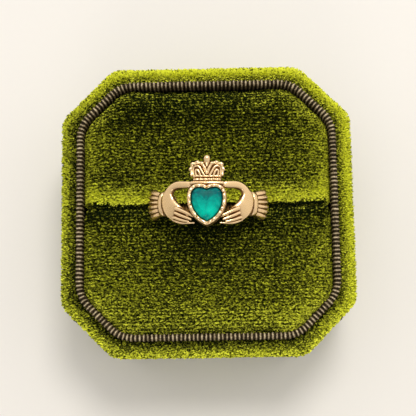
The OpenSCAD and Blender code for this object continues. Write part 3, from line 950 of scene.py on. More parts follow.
def rib_object(box):
    """One rib of thread, bent over the collar's top, with a leg on each side. Its crest value, which paints
    the rib's highlight and the shade at its sides, is highest along its middle line and on top of the collar,
    where the light falls."""
    reach, wide = box.collar / 2 - RIB_THICK, box.rib_width / 2
    legs = [(reach, z) for z in RIB_LEG]
    over, other_legs = [(reach * c, reach * s) for c, s in OVER_TOP], [(-x, y) for x, y in legs[::-1]]
    path = np.array(legs + over + other_legs)
    slices, crest = [], []
    for i, p in enumerate(path):
        t = unit(path[min(i + 1, len(path) - 1)] - path[max(i - 1, 0)])
        lit = max(0.0, 1 - (p[0] / reach) ** 2) if p[1] > 0 else 0.0
        out = np.array([t[1], -t[0]])
        for a in np.radians(np.arange(RIB_SIDES) * 360 / RIB_SIDES + 90):
            side, up = math.cos(a), math.sin(a)
            q = p + out * RIB_THICK * (up - 0.3)
            slices.append((q[0], side * wide, q[1]))
            crest.append(max(0.0, up) * (1 - abs(side)) * (0.74 + 0.34 * lit**0.8))
    form = Form()
    form.loft(np.array(slices).reshape(len(path), RIB_SIDES, 3))
    obj = new_object("rib", form.mesh("rib"))
    set_value(obj.data, "crest", [*crest, 0, 0])
    return obj


def build_collar(box):
    """The ribbon-wrapped collar: a core painted dark as the shade between the ribs, and a rib of thread for
    each ridge of the grosgrain.
    """
    cavity, half = box.wall + box.fit, box.collar / 2
    top, low = box.wall_height + box.collar_rise - half, box.floor + box.fit
    material = ribbon_cloth()
    inner = half - UNDER_RIBS
    rings = [box_ring(box, cavity + half - inner * c, top + inner * s) for c, s in OVER_TOP]
    rings += [box_ring(box, cavity + box.collar, low), box_ring(box, cavity, low)]
    core = Form()
    core.loft(rings, closed=True)
    base = new_object("ribbon_core", core.mesh("ribbon_core"))
    # no crest: the core shows as painted shade between the ribs
    set_value(base.data, "crest", np.zeros(len(base.data.vertices)))
    base.data.materials.append(material)

    middle = box_ring(box, cavity + half, top, 10)
    line, n = bpy.data.meshes.new("ribbon_ribs"), len(middle)
    line.from_pydata((middle * MM).tolist(), [(i, (i + 1) % n) for i in range(n)], [])
    ribs = new_object("ribbon_ribs", line)
    count = round(np.linalg.norm(middle - np.roll(middle, -1, 0), axis=1).sum() / box.rib_pitch)
    rib = rib_object(box)
    through_nodes(ribs, rib_tree(), {"Rib": rib, "Material": material, "Count": count})
    discard(rib)
    ribs.data.polygons.foreach_set("use_smooth", [True] * len(ribs.data.polygons))
    stand_for(joined("grosgrain_collar", [base, ribs]), "ribbon_collar")


def joined(name, objects):
    """Several objects as one."""
    first = objects[0]
    with bpy.context.temp_override(
        active_object=first, object=first, selected_objects=objects, selected_editable_objects=objects
    ):
        bpy.ops.object.join()
    first.name = first.data.name = name
    return first


# [inset, drop] of a pad's rolled edge, in shares of the roll
PAD_ROLL = [
    (0, 1.15), (0.04, 0.9), (0.12, 0.7), (0.25, 0.45), (0.42, 0.28),
    (0.65, 0.14), (0.9, 0.06), (1.5, 0.01), (2.4, 0),
]  # fmt: skip
PAD_START = 0.25  # millimetres that a pad gains all round when it is stuffed
PAD_GRAIN = 0.85  # millimetres between the points of its cloth
CLOTH_SCALE = 10  # the cloth solver's defaults fit things of ten times the size
CLOTH_PRESSURE, CLOTH_QUALITY, CLOTH_FRAMES = 4.0, 5, 20
SLOT_FACE = {1: 0.3, -1: 0.1}  # millimetres that the back and the front pad stay clear of the slot's face
SLOT_REACH, SLOT_END_REACH, SLOT_END_FILL = 6, 3.2, 1.5  # millimetres of pad that move, and the ends' move
BAND_REACH = 1.3  # millimetres round the band in which the cloth eases back out


def pad_ring(box, pads, back, inset, slot_inset, z, steps=5):
    """A pad's rounded outline at a height: the octagon's back half, or its front half."""
    room = box.wall + box.collar + 2 * box.fit
    o = octagon(box, room + inset)
    x, near = o[0][0], back * (pads.slot_width / 2 + slot_inset) - pads.slot_front
    corners = [[x, near], *o[:4], [-x, near]] if back > 0 else [[-x, near], *o[4:], [x, near]]
    outer = corner(box, room)
    flat = rounded(corners, [pads.slot_corner if k in (0, 5) else outer for k in range(6)], steps)
    return np.column_stack([flat, np.full(len(flat), z)])


def pad_form(back, box, pads):
    """A pad before it is stuffed, with a rolled edge."""
    start, top, floor = PAD_START, box.wall_height + pads.rise - UNDER_PAD, box.floor + box.fit
    slot_roll = pads.roll * (0.5 if back > 0 else 0.9)
    levels = [(0.5 + start, 0.5, floor), (start, start, floor + 0.5)]
    levels += [(start + x * pads.roll, start + x * slot_roll, top - z * pads.roll) for x, z in PAD_ROLL]
    form = Form()
    form.loft([pad_ring(box, pads, back, *level) for level in levels])
    return form


def plumped(obj, cap):
    """The stuffing's pressure swells the cover, with the move of each point held to the cap."""
    scene = bpy.context.scene
    cloth = obj.modifiers.new("stuffing", "CLOTH")
    cloth.settings.use_pressure = True
    cloth.settings.uniform_pressure_force = CLOTH_PRESSURE
    cloth.settings.quality = CLOTH_QUALITY
    cloth.settings.effector_weights.gravity = 0.0
    rest = coordinates(obj.data)
    for f in range(1, CLOTH_FRAMES + 1):
        scene.frame_set(f)
    dg = bpy.context.evaluated_depsgraph_get()
    move = coordinates(obj.evaluated_get(dg).data) - rest
    obj.modifiers.clear()
    scene.frame_set(1)
    far = np.linalg.norm(move, axis=1, keepdims=True)
    return rest + move * np.minimum(1, cap / np.maximum(far, 1e-9))


def pad_limits(back, box, pads):
    """How far a pad reaches to its sides, away from the slot, across its corners and into the slot."""
    limit = octagon(box, box.wall + box.collar + 2 * box.fit + 0.1)
    face = back * (pads.slot_width / 2 + SLOT_FACE[back]) - pads.slot_front
    return SimpleNamespace(x=limit[0][0], y=limit[1][1], both=limit[0][0] + limit[0][1], face=face)


def hold_in(co, back, most, floor):
    """Keeps the swollen cloth inside the collar, out of the slot and above the box's floor."""
    co[:, 0] = np.clip(co[:, 0], -most.x, most.x)
    co[:, 1] = np.clip(co[:, 1], -most.y, most.y)
    over = np.maximum(np.abs(co[:, 0]) + np.abs(co[:, 1]) - most.both, 0)
    co[:, :2] -= np.sign(co[:, :2]) * over[:, None] / 2
    co[:, 1] = np.maximum(co[:, 1], most.face) if back > 0 else np.minimum(co[:, 1], most.face)
    co[:, 2] = np.clip(co[:, 2], floor, None)


def close_slot(co, back, pads, most):
    """The front pad swells over the slot up to the other pad, and both pads' corners fill its ends."""
    depth = back * (co[:, 1] - most.face)
    swollen = 0 if back > 0 else pads.slot_width - 0.1
    at_end = held(1.2 - (most.x - np.abs(co[:, 0])) / 2.0) * held(1 - depth / SLOT_END_REACH)
    shift = swollen * held(1 - depth / SLOT_REACH) ** 1.5 + SLOT_END_FILL * at_end
    co[:, 1] -= back * np.minimum(shift, depth + swollen)


def pressed_back(co, back, box, pads, ring):
    """The cloth pressed back round the ring's band, and how far each point moved."""
    turned, centre = ring_place(box, ring)
    local = (co - centre) @ turned
    radius = np.hypot(local[:, 0], local[:, 2])
    reach = 1 - held((radius - ring.finger - ring.band - pads.ring_room) / BAND_REACH)
    side = (ring.band_width / 2 + pads.ring_room) * reach * reach * (3 - 2 * reach)
    push = np.maximum(side - back * local[:, 1], 0) * (reach > 0)
    local[:, 1] += back * push
    return local @ turned.T + centre, push


def mark_pad(obj, co, push, back, box, pads, most):
    """Stores how densely a pad's pile stands, its painted light and shade, how long it is and how level the
    cloth lies.
    """
    from_slot = back * (co[:, 1] + pads.slot_front) - pads.slot_width / 2
    near_band = held(push * 2.5)
    left, right = most.x + co[:, 0], most.x - co[:, 0]
    oblique = (most.both - np.abs(co[:, 0]) - np.abs(co[:, 1])) / 1.41
    left, right = (np.minimum(side, np.where(side < most.x, oblique, 99)) for side in (left, right))
    edges_lit = 0.34 * np.exp(-left / 1.6) + 0.4 * np.exp(-right / 2.2)
    if back > 0:  # painted light: bright along the slot's rolled edge and the right edge, painted shade towards the back
        nap = 0.42 + 1.4 * held(1 - from_slot / 5.2) ** 1.2 + edges_lit
        nap += 0.45 * np.exp(-right / 2.2) + 0.16 * np.exp(-left / 2) - 0.34 * held((from_slot - 12) / 6)
    else:  # painted shade along the slot, most of all a painted shadow of the ring, and painted light towards the front
        nap = 0.44 + 0.013 * np.clip(from_slot - 5, 0, 12) + edges_lit
        nap -= (0.28 + 0.7 * hill(co[:, 0], 0, 15)) * held(1 - (from_slot + 1.7) / 7)
        nap += 0.1 * hill(from_slot, 18.5, 1.5) * np.clip(co[:, 0] / 8, -0.3, 1)
    # painted shade down in the slot and the ring's painted shadow on the front pad; the pile is also painted
    # darker round the band
    sunk = held((box.wall_height + pads.rise - 0.8 - co[:, 2]) / 0.5) * (from_slot < 1.2)
    sunk *= held((most.x - np.abs(co[:, 0]) - 0.4) / 0.8)
    painted_ring_shadow = hill(co[:, 0], 0, 8) * held(1.25 - np.abs(from_slot - 4.2) / 7.5)
    set_values(
        obj.data,
        pile=held((co[:, 2] - (box.wall_height - 3.2)) / 1.5),
        nap=nap * (1 - 0.6 * near_band) * (1 - 1.12 * sunk) - (0.4 * painted_ring_shadow if back < 0 else 0),
        trim=(1 - 0.6 * near_band) * (1 - 0.5 * held(1.1 - from_slot) * (back > 0)),
        flat=held(normals_of(obj.data)[:, 2]) ** 2,
    )


def build_pad(name, node, back, box, pads, ring, pile):
    """A stuffed velvet pad: plumped as cloth, held in by the collar, closed over the slot, pressed back
    round the ring's band and covered in pile. The back pad has a back of 1, the front pad of -1."""
    big = MM * CLOTH_SCALE
    obj = new_object(name, pad_form(back, box, pads).mesh(name, big))
    remesh = obj.modifiers.new("even cloth", "REMESH")
    remesh.mode, remesh.voxel_size = "VOXEL", PAD_GRAIN * big
    settle(obj)
    co = plumped(obj, pads.swell * big)
    set_coordinates(obj.data, relaxed(co / big, edges_of(obj.data), 2) * MM)
    finer = obj.modifiers.new("finer", "SUBSURF")
    finer.levels = finer.render_levels = 1
    settle(obj)

    co, most = coordinates(obj.data) / MM, pad_limits(back, box, pads)
    hold_in(co, back, most, box.floor + box.fit)
    close_slot(co, back, pads, most)
    co, push = pressed_back(co, back, box, pads, ring)
    set_coordinates(obj.data, co * MM)
    mark_pad(obj, co, push, back, box, pads, most)
    coated(obj, pile, velvet("pad velvet", pile, 0.5, 2.8, 0.22), Seed=pile.seed + (back > 0))
    stand_for(obj, node)


# The ring


def rotation(axis, angle):
    return np.array(Matrix.Rotation(angle, 3, axis))


def girdle_height(ring):
    """The height of the stone's girdle over the finger's axis."""
    return ring.finger + ring.band + ring.bezel_height - GIRDLE_DROP


def ring_place(box, ring):
    """The ring's turn and centre in the box, in millimetres."""
    turned = rotation("Z", -ring.yaw) @ rotation("Y", -ring.turned) @ rotation("X", ring.lean)
    return turned, np.array([ring.side, ring.back, box.wall_height + ring.rise])


# [along, across, half width, rise] of the hand's plate from the thumb's tip to the fingers
HAND = [
    (0.298, 0.428, 0.056, 0.45), (0.369, 0.425, 0.078, 0.66), (0.476, 0.427, 0.085, 0.74),
    (0.583, 0.430, 0.088, 0.80), (0.673, 0.411, 0.087, 0.84), (0.756, 0.362, 0.088, 0.90),
    (0.818, 0.272, 0.112, 0.96), (0.852, 0.160, 0.180, 1.00), (0.850, 0.022, 0.217, 1.00),
    (0.792, -0.108, 0.230, 1.00), (0.700, -0.207, 0.222, 0.80), (0.585, -0.300, 0.195, 0.26),
    (0.495, -0.355, 0.150, 0.06), (0.420, -0.385, 0.110, -0.10),
]  # fmt: skip
# three [along, across, height] points of each finger, then its radius at each
FINGERS = [
    [(0.640, -0.130, 0.38), (0.500, -0.195, 0.52), (0.275, -0.320, 0.44), (0.56, 0.42, 0.33)],
    [(0.665, -0.235, 0.42), (0.510, -0.312, 0.46), (0.330, -0.392, 0.30), (0.38, 0.37, 0.30)],
    [(0.705, -0.340, 0.32), (0.540, -0.405, 0.28), (0.390, -0.445, 0.08), (0.37, 0.34, 0.24)],
    [(0.738, -0.400, 0.10), (0.540, -0.475, 0.00), (0.270, -0.475, -0.16), (0.33, 0.30, 0.18)],
]
HOLD, HOLD_OUT = 0.298, 0.4795  # where a hand meets the bezel, in shares of the hand's and the stone's size
# [along, width, rise] of the arches at the wrist and the cuff
WRIST = [(0, 0.731, 0.5), (0.45, 0.759, 0.62), (1, 0.805, 0.62)]
CUFF = [(0, 0.88, 0.72), (0.1, 0.97, 0.93), (0.28, 1, 1), (0.72, 1, 1), (0.9, 0.97, 0.93), (1, 0.88, 0.72)]
# [across, up] of the crown's outline and of its arches, in shares of its half width and its height
CROWN = [
    (0, -0.04), (0.89, -0.04), (0.85, 0.10), (0.85, 0.22), (0.93, 0.31), (1.00, 0.50),
    (0.92, 0.68), (0.60, 0.76), (0.30, 0.72), (0.17, 0.78), (0, 0.78),
]  # fmt: skip
ARCH_BEADS = [(0.29, 0.715), (0.56, 0.75), (0.85, 0.695), (0.97, 0.52), (0.91, 0.335)]
ARCH_RIM = [(0.02, 0.38), (0.13, 0.56), (0.29, 0.70), (0.55, 0.73), (0.80, 0.68), (0.93, 0.52), (0.87, 0.33)]
ARCH_RIDGE = [
    (0.13, 0.276), (0.32, 0.47), (0.44, 0.588), (0.60, 0.638), (0.78, 0.61), (0.83, 0.50), (0.77, 0.266),
]  # fmt: skip
ARCH_LOOP = [(0.37, 0.268), (0.474, 0.428), (0.59, 0.50), (0.68, 0.44), (0.65, 0.318)]
SEED = (0.55, 0.29)  # the small grain inside each arch
# [height on the crown, half width, radius, drop] of the bars across the crown's foot
CROWN_BARS = [(0.045, 0.9, 0.34, 0.19), (0.16, 0.74, 0.3, 0.44), (0.275, 0.74, 0.17, 0.3)]
# [distance in knob radii, drop, radius in knob radii] of the stalk that holds the knob
KNOB_STALK = [(0.3, 0.3, 0.99), (0.9, 0.32, 0.92), (1.5, 0.4, 0.78), (2.5, 0.5, 0.45)]
RIM_BEADS = 6
DOME = [(0.4, 0.92), (0.75, 0.66), (0.95, 0.3)]  # [along, size] of a bar's domed end, in radii
CRIMPS_ON_LOBE, CRIMPS_ON_SIDE = 4, 6
POINTS_TO_A_CRIMP = 14
# [share of the wall outwards, drop below the rim, dip in crimps, bite] of the bezel's lumpy rim
BEZEL_RIM = [
    (1.0, 0.45, 0.3, -0.02), (0.97, 0.24, 1.4, -0.07), (0.86, 0.08, 2.4, -0.06),
    (0.64, 0.0, 3.2, 0.0), (0.42, -0.01, 3.8, 0.0), (0.22, 0.05, 3.6, 0.05),
]  # fmt: skip
RUFFLE_STEPS = (0, 0.15, 0.35, 0.55, 0.75, 0.88, 0.95, 1.0)  # shares of the ruffle's length
GIRDLE_DROP = 0.45  # millimetres from the bezel's rim down to the stone's girdle
MOST_TRIANGLES = 185000  # of the ring's finished mesh


class Heart:
    """The stone's outline: a flat brow arc, a lobe arc and a long side arc on each half."""

    def __init__(self, stone):
        self.lobe_r, self.brow_r, self.side_r = stone.width * 0.235, stone.width * 0.5, stone.side_radius
        self.lobe = np.array([stone.width / 2 - self.lobe_r, stone.length * 0.424 - self.lobe_r])
        self.brow = self.lobe + (0, self.lobe_r - self.brow_r)
        tip = np.array([0, self.lobe[1] + self.lobe_r - stone.length])
        to_tip, near = tip - self.lobe, self.side_r - self.lobe_r
        d = np.linalg.norm(to_tip)
        along = (near**2 - self.side_r**2 + d * d) / (2 * d)
        u = to_tip / d
        self.side = self.lobe + along * u + math.sqrt(max(near**2 - along**2, 0)) * np.array([u[1], -u[0]])
        self.join = math.atan2(self.lobe[1] - self.side[1], self.lobe[0] - self.side[0])
        self.wide = self.tall = 1.0
        bare = self.half(0, 40, 80)
        self.wide, self.tall = stone.width / 2 / bare[:, 0].max(), stone.length / np.ptp(bare[:, 1])

    def half(self, grow, on_lobe, on_side):
        def arc(centre, r, start, end, steps, last=0):
            a = start + (end - start) * np.arange(steps + last) / steps
            return centre + (r + grow) * np.column_stack([np.cos(a), np.sin(a)])

        notch = math.acos(-self.lobe[0] / (self.brow_r + grow))
        tip = -math.acos(-self.side[0] / (self.side_r + grow))
        on_brow = round(on_lobe * 0.4)
        return np.vstack(
            [
                arc(self.brow, self.brow_r, notch, math.pi / 2, on_brow),
                arc(self.lobe, self.lobe_r, math.pi / 2, self.join, on_lobe - on_brow),
                arc(self.side, self.side_r, self.join, tip, on_side, 1),
            ]
        )

    def outline(self, grow, on_lobe, on_side):
        """Counter-clockwise seen from above, starting at the notch."""
        right = self.half(grow, on_lobe, on_side) * (self.wide, self.tall)
        return np.vstack([right * (-1, 1), right[-2:0:-1]])

    @property
    def top(self):
        return self.tall * (self.lobe[1] + self.lobe_r)


def at_height(flat, z):
    return np.column_stack([flat, np.broadcast_to(z, len(flat))])


class Casting:
    """The ring's solder-joined parts as overlapping closed shapes, with the finger's axis along Y. What lies
    to one side of the heart is gathered in half and mirrored to the other."""

    def __init__(self, ring, heart, stone):
        self.ring, self.heart, self.stone = ring, heart, stone
        self.band_r = ring.finger + ring.band
        self.whole, self.half = Form(), Form()

    def wrap(self, along, across, height):
        """A point, by its place along the band from the top, across the band and over it."""
        angle, r = along / self.band_r, self.band_r + height
        return np.array([r * math.sin(angle), across, r * math.cos(angle)])

    def under(self, p):
        """The point below p that lies inside the finger hole, where boring cuts it off."""
        finger = self.ring.finger
        return np.array([p[0], p[1], finger * math.sqrt(0.934 - min((p[0] / finger) ** 2, 0.79))])

    def along(self, share):
        """How far along the band a share of the hand's length lies."""
        hold = self.stone.width * HOLD_OUT
        return hold + (self.ring.hand_length - hold) * (share - HOLD) / (1 - HOLD)

    def bar(self, form, path, radii, sides=12, steps=4):
        """A round bar with domed ends, swept along a smooth path."""
        at = [self.wrap(*q) for q in smooth_rows(path, steps)]
        r = [float(v) for v in np.ravel(smooth_rows([[v] for v in radii], steps))]
        last, a = len(at) - 1, np.radians(360 * (np.arange(sides) + 0.5) / sides)

        def cut(i, along, size):
            t = unit(at[min(i + 1, last)] - at[max(i - 1, 0)])
            s = unit(np.cross(t, [at[i][0], 0, at[i][2]]))
            v = np.cross(s, t)
            return at[i] + along * r[i] * t + size * r[i] * (np.outer(np.cos(a), v) + np.outer(np.sin(a), s))

        start = [cut(0, -along, size) for along, size in DOME[::-1]]
        end = [cut(last, along, size) for along, size in DOME]
        form.loft([*start, *(cut(i, 0, 1) for i in range(last + 1)), *end])

    def band(self):
        """The plain band, which stops under the hands."""
        finger, w, d = self.ring.finger, self.ring.band_width / 2, self.ring.band
        section = [(-0.3, -w + 0.4), (0.0, -w + 0.12), (0.18, -w)]
        section += [(d * 0.5, -w), (d * 0.72, -w + 0.08), (d * 0.86, -w + 0.3), (d * 0.95, -w * 0.5), (d, 0)]
        section += [(q[0], -q[1]) for q in section[-2::-1]]
        self.whole.loft(
            [
                [((finger + q[0]) * math.sin(a), q[1], (finger + q[0]) * math.cos(a)) for q in section[::-1]]
                for a in np.linspace(self.ring.band_gap, 2 * math.pi - self.ring.band_gap, 120)
            ]
        )

    def bezel(self):
        """The bezel: smooth and flared outside, its rim pressed down in lumps over the stone."""
        ring, stone, heart = self.ring, self.stone, self.heart
        on_lobe, on_side = CRIMPS_ON_LOBE * POINTS_TO_A_CRIMP, CRIMPS_ON_SIDE * POINTS_TO_A_CRIMP
        count = 2 * (on_lobe + on_side)
        turns = np.arange(count) / POINTS_TO_A_CRIMP
        turns = turns + 0.2 * np.sin(2.3 * turns) * np.sin(math.pi * np.arange(count) / count) ** 0.5
        deep = 0.35 + 0.65 * np.random.default_rng(4).random(2 * (CRIMPS_ON_LOBE + CRIMPS_ON_SIDE))
        notch = (1 - np.abs(np.sin(np.pi * turns)) ** 0.55) * deep[np.round(turns).astype(int) % len(deep)]
        foot, rim, girdle = ring.finger - 0.4, self.band_r + ring.bezel_height, girdle_height(ring)
        wall, crimp, lip = ring.bezel_wall, ring.crimp, stone.gap + 0.03

        def pressed(grow, z, dip, bite=0.0):
            """The bezel's outline at a height, dented by the notches between its lumps."""
            plain, out = heart.outline(grow, on_lobe, on_side), heart.outline(grow + 1, on_lobe, on_side)
            return at_height(plain + (out - plain) * (notch * bite)[:, None], z - dip * notch)

        lumps = [pressed(wall * out, rim - drop, crimp * dip, bite) for out, drop, dip, bite in BEZEL_RIM]
        seat = heart.outline(lip, on_lobe, on_side)
        self.whole.loft(
            [
                pressed(wall + ring.bezel_flare, foot, 0),
                pressed(wall + ring.bezel_flare, self.band_r + ring.bezel_height * 0.27, 0),
                pressed(wall + 0.02, self.band_r + ring.bezel_height * 0.6, 0),
                *lumps,
                pressed(lip - 0.03, rim - 0.18, crimp * 2, 0.08),
                at_height(seat, girdle - 0.1),
                at_height(seat * 0.64, girdle - stone.pavilion * 0.5),
                at_height(seat * 0.62, foot),
            ],
            closed=True,
        )

    def crown(self):
        """The crown: a domed plate with bars across its foot, ridged and beaded arches and a knob."""
        ring, whole = self.ring, self.whole
        foot, plate = self.heart.top + ring.bezel_wall - 0.02, ring.crown_rise - 0.35

        def place(q, h, side=1):
            return side * q[0] * ring.crown_width / 2, foot + q[1] * ring.crown_length, h

        outline = CROWN + [(-x, y) for x, y in CROWN[-2:0:-1]]
        middle = np.array([0, 0.38])
        rings = [[self.under(self.wrap(*place(q, 0))) for q in outline]]
        for s in (1, 0.97, 0.8, 0.6, 0.4, 0.2):
            lift = plate - (0.08 if s == 1 else 0)
            rings.append([self.wrap(*place(middle + (np.array(q) - middle) * s, lift)) for q in outline])
        whole.loft(rings)

        for y, half_width, r, drop in CROWN_BARS:
            path = [place((half_width * k / 3, y), ring.crown_rise - drop) for k in (-3, -1, 1, 3)]
            self.bar(whole, path, [r] * 4)
        for k in range(RIM_BEADS):
            x = (2 * k + 1 - RIM_BEADS) * 0.125
            path = [place((x + d, 0.165), ring.crown_rise - 0.3) for d in (-0.04, 0, 0.04)]
            self.bar(whole, path, [0.22, 0.24, 0.22])
        beads = [np.array(q) for q in ARCH_BEADS]
        for side in (-1, 1):
            for i, q in enumerate(beads):
                way = unit(beads[min(i + 1, 4)] - beads[max(i - 1, 0)]) * (0.028, 0.016)
                rise, r = ring.crown_rise - 0.22, ring.bead * (0.9, 0.92, 1.0, 0.9, 0.8)[i]
                path = [place(q + k * way, rise, side) for k in (-1, 0, 1)]
                self.bar(whole, path, [r * 0.94, r, r * 0.94], 16)
            for row, r, lift in ((ARCH_RIDGE, 0.23, 0.0), (ARCH_LOOP, 0.21, 0.03), (ARCH_RIM, 0.27, 0.07)):
                self.bar(whole, [place(q, plate + lift, side) for q in row], [r] * len(row))
            whole.ball(self.wrap(*place(SEED, plate, side)), 0.22)
        top = foot + ring.crown_length - ring.knob
        whole.ball(self.wrap(0, top, ring.crown_rise - 0.3), ring.knob, 16)
        path = [(0, top - ring.knob * back, ring.crown_rise - drop) for back, drop, _ in KNOB_STALK]
        self.bar(whole, path, [ring.knob * r for _, _, r in KNOB_STALK])

    def hand(self):
        """One hand: a domed plate from the thumb round to the heel, with its fingers lying on it."""
        ring, half = self.ring, self.half
        rows = smooth_rows(HAND, 5)
        at = np.array([(self.along(r[0]), r[1] * ring.hand_width) for r in rows])
        across = np.sin(np.linspace(-math.pi / 2, math.pi / 2, 25))
        lift = np.maximum(1 - np.abs(across) ** 7, 0) ** 0.5 * (1 - 0.1 * across**2)
        slices = []
        for i, row in enumerate(rows):
            t = unit(at[min(i + 1, len(at) - 1)] - at[max(i - 1, 0)])
            side, w = np.array([t[1], -t[0]]), row[2] * ring.hand_width
            outer, inner = at[i] - side * 0.9 * w, at[i] + side * 0.9 * w
            rise = lift * row[3] * ring.hand_rise
            cut = [self.wrap(*(at[i] + side * q * w), h) for q, h in zip(across, rise)]
            slices.append([self.wrap(*outer, -ring.band - 0.3), *cut, self.under(self.wrap(*inner, 0))])
        half.loft(slices)
        for *points, radii in FINGERS:
            path = [(self.along(p[0]), p[1] * ring.hand_width, p[2] * ring.hand_rise) for p in points]
            self.bar(half, path, [r * ring.hand_rise * 0.95 for r in radii], 14, 5)

    def arched(self, rows, start, long, wide, rise):
        """An arch over the band, through rows of [along, width, rise] in shares of its sizes."""
        band, arc, cuts = self.ring.band, np.radians(np.arange(0, 181, 12)), []
        for r in rows:
            s, x, h = start + r[0] * long, r[1] * wide / 2, r[2] * rise + band * 0.5
            cut = [self.wrap(s, math.cos(a) * x, -band * 0.5 + math.sin(a) ** 0.5 * h) for a in arc]
            cuts.append([self.wrap(s, 0.9 * x, -band - 0.2), *cut, self.wrap(s, -0.9 * x, -band - 0.2)])
        self.half.loft(cuts)

    def cuff(self):
        """The wrist, the cuff's collar and its pleated ruffle, which is held to the band by three bars."""
        ring = self.ring
        self.arched(WRIST, ring.hand_length - 0.7, 0.9, ring.cuff_width, ring.cuff_rise)
        self.arched(CUFF, ring.hand_length + 0.054, ring.cuff_length, ring.cuff_width, ring.cuff_rise)
        start = ring.hand_length + 0.054 + ring.cuff_length * 0.75
        across = np.linspace(-1, 1, 16 * ring.flutes + 1)
        in_pleat = np.abs((across * ring.flutes / 2 + ring.flutes / 2) % 1 * 2 - 1)
        pleat, droop = 1 - in_pleat**2.2, across**2
        uneven = 0.8 + 0.3 * np.sin(5.0 * across + 1.0)
        slices = []
        for t in RUFFLE_STEPS:
            wide = (ring.ruffle_width / 2 + 0.3) * (0.7 + 0.3 * t**0.8)
            reach = start + (ring.ruffle_length + 0.9) * (t * (1 - 0.15 * droop) - 0.05 * t * (1 - pleat))
            up = 0.58 + 0.8 * t - droop * (0.3 + 0.3 * t) - 0.45 * (0.4 + 0.6 * t) * (1 - pleat) * uneven
            up -= 0.3 * max(0, t - 0.88) / 0.12
            top = [self.wrap(a, y * wide, h) for a, y, h in zip(reach, across, up)]
            low = [self.wrap(a, y * wide * 0.97, h - 0.55) for a, y, h in zip(reach - 0.1 * t, across, up)]
            slices.append(low + top[::-1])
        self.half.loft(slices)
        end, low = start + 0.7 * ring.ruffle_length, -ring.band * 0.998
        for y in (-0.3, 0, 0.3):
            self.bar(self.half, [(s, y * ring.cuff_width, low) for s in (start, end)], [0.74, 0.74])

    def form(self):
        """All parts together."""
        for part in (self.band, self.bezel, self.crown, self.hand, self.cuff):
            part()
        self.half.mirrored()
        self.whole.add(np.vstack(self.half.points), self.half.faces)
        return self.whole


def wear_and_painted_light(co, n, edges, ring):
    """How deep each point of the ring lies in a recess, for tarnish and painted shade, how far it stands out
    on a ridge, for a painted highlight, and how steeply its surface falls, for a painted dark reflection. The
    outside of the plain band counts as a ridge."""

    def hollow(rounds, factor, evened, full):
        """How far the surface lies under its surroundings, where full counts as 1."""
        drop = ((relaxed(co, edges, rounds, factor) - co) * n).sum(1)
        return relaxed(drop, edges, evened)[:, 0] / full

    sunk = hollow(1, 1.0, 6, 0.0025) * 0.5 + hollow(14, 0.9, 3, 0.06)
    level = relaxed(np.abs((n * unit(co * (1, 0, 1))).sum(1)), edges, 2)[:, 0]
    bare = np.hypot(co[:, 0], co[:, 2]) < ring.finger + ring.band + 0.05
    bare &= np.abs(co[:, 1]) < ring.band_width / 2
    return {
        "recess": held(sunk) * ~bare,
        "ridge": np.maximum(held(-sunk), bare),
        "steep": held((0.62 - level) / 0.45) * ~bare,
    }


def build_ring(box, ring, stone):
    """Melts the parts into one casting, eases its joints, bores the finger hole and marks where the gold
    takes tarnish, painted shade, painted highlights and painted dark reflections.
    """
    obj = new_object("gold_ring", Casting(ring, Heart(stone), stone).form().mesh("gold_ring", 1.0))
    melt = obj.modifiers.new("casting", "REMESH")
    melt.mode, melt.voxel_size = "VOXEL", ring.grain
    settle(obj)
    edges = edges_of(obj.data)
    co = relaxed(coordinates(obj.data), edges, 2, 0.45)
    radius = np.hypot(co[:, 0], co[:, 2])
    grow = np.where(radius < ring.finger, ring.finger / np.maximum(radius, 1e-6), 1)
    co[:, [0, 2]] *= grow[:, None]
    set_coordinates(obj.data, co)
    marks = wear_and_painted_light(co, normals_of(obj.data), edges, ring)

    # the thinned mesh takes each mark from the nearest point of the fine one
    finder = KDTree(len(co))
    for i, p in enumerate(co):
        finder.insert(p, i)
    finder.balance()
    thin = obj.modifiers.new("thinner", "DECIMATE")
    thin.ratio = min(1.0, MOST_TRIANGLES / (2 * len(obj.data.polygons)))
    settle(obj)
    kept = coordinates(obj.data)
    nearest = np.array([finder.find(p)[1] for p in kept])
    set_values(obj.data, **{name: values[nearest] for name, values in marks.items()})
    turned, centre = ring_place(box, ring)
    set_coordinates(obj.data, (kept @ turned.T + centre) * MM)
    obj.data.polygons.foreach_set("use_smooth", [True] * len(obj.data.polygons))
    obj.data.materials.append(cast_gold(ring))
    stand_for(obj, "ring")


def build_stone(box, ring, stone):
    """The heart stone: a table, two rows of crown facets, a thin girdle and a pavilion ending in a keel."""
    cut, girdle = Heart(stone).outline(0, 5, 8), girdle_height(ring)
    n = len(cut)
    odd = np.arange(n) % 2 == 1
    star = cut * np.where(odd, 0.84 * 0.96, 0.84)[:, None]
    star_z = girdle + stone.facets * 0.62 - np.where(odd, 0.05, 0)
    form = Form()
    form.loft(
        [
            at_height(cut * 0.06, girdle - stone.pavilion),
            at_height(cut * 0.56, girdle - stone.pavilion * 0.5),
            at_height(cut, girdle - 0.04),
            at_height(cut, girdle + 0.06),
            at_height(star, star_z),
            at_height(cut * stone.table, girdle + stone.facets),
        ]
    )
    turned, centre = ring_place(box, ring)
    mesh = form.mesh("emerald_heart", 1.0)
    set_coordinates(mesh, (coordinates(mesh) @ turned.T + centre) * MM)
    obj = new_object("emerald_heart", mesh, smooth=False)
    set_value(mesh, "edge", np.concatenate([np.repeat([1, 1, 1, 1, 0, 0], n), [1, 0]]))
    # each facet gets a random brightness, for painted facet reflections
    facet = mesh.attributes.new("facet", "FLOAT", "FACE")
    tones = np.random.default_rng(5).uniform(-1, 1, len(mesh.polygons))
    facet.data.foreach_set("value", tones.astype(np.float32))
    middle = (turned @ np.array([0, 0, girdle]) + centre) * MM
    mesh.materials.append(green_stone(stone, turned, middle))
    stand_for(obj, "heart_stone")


# Floor, light and camera


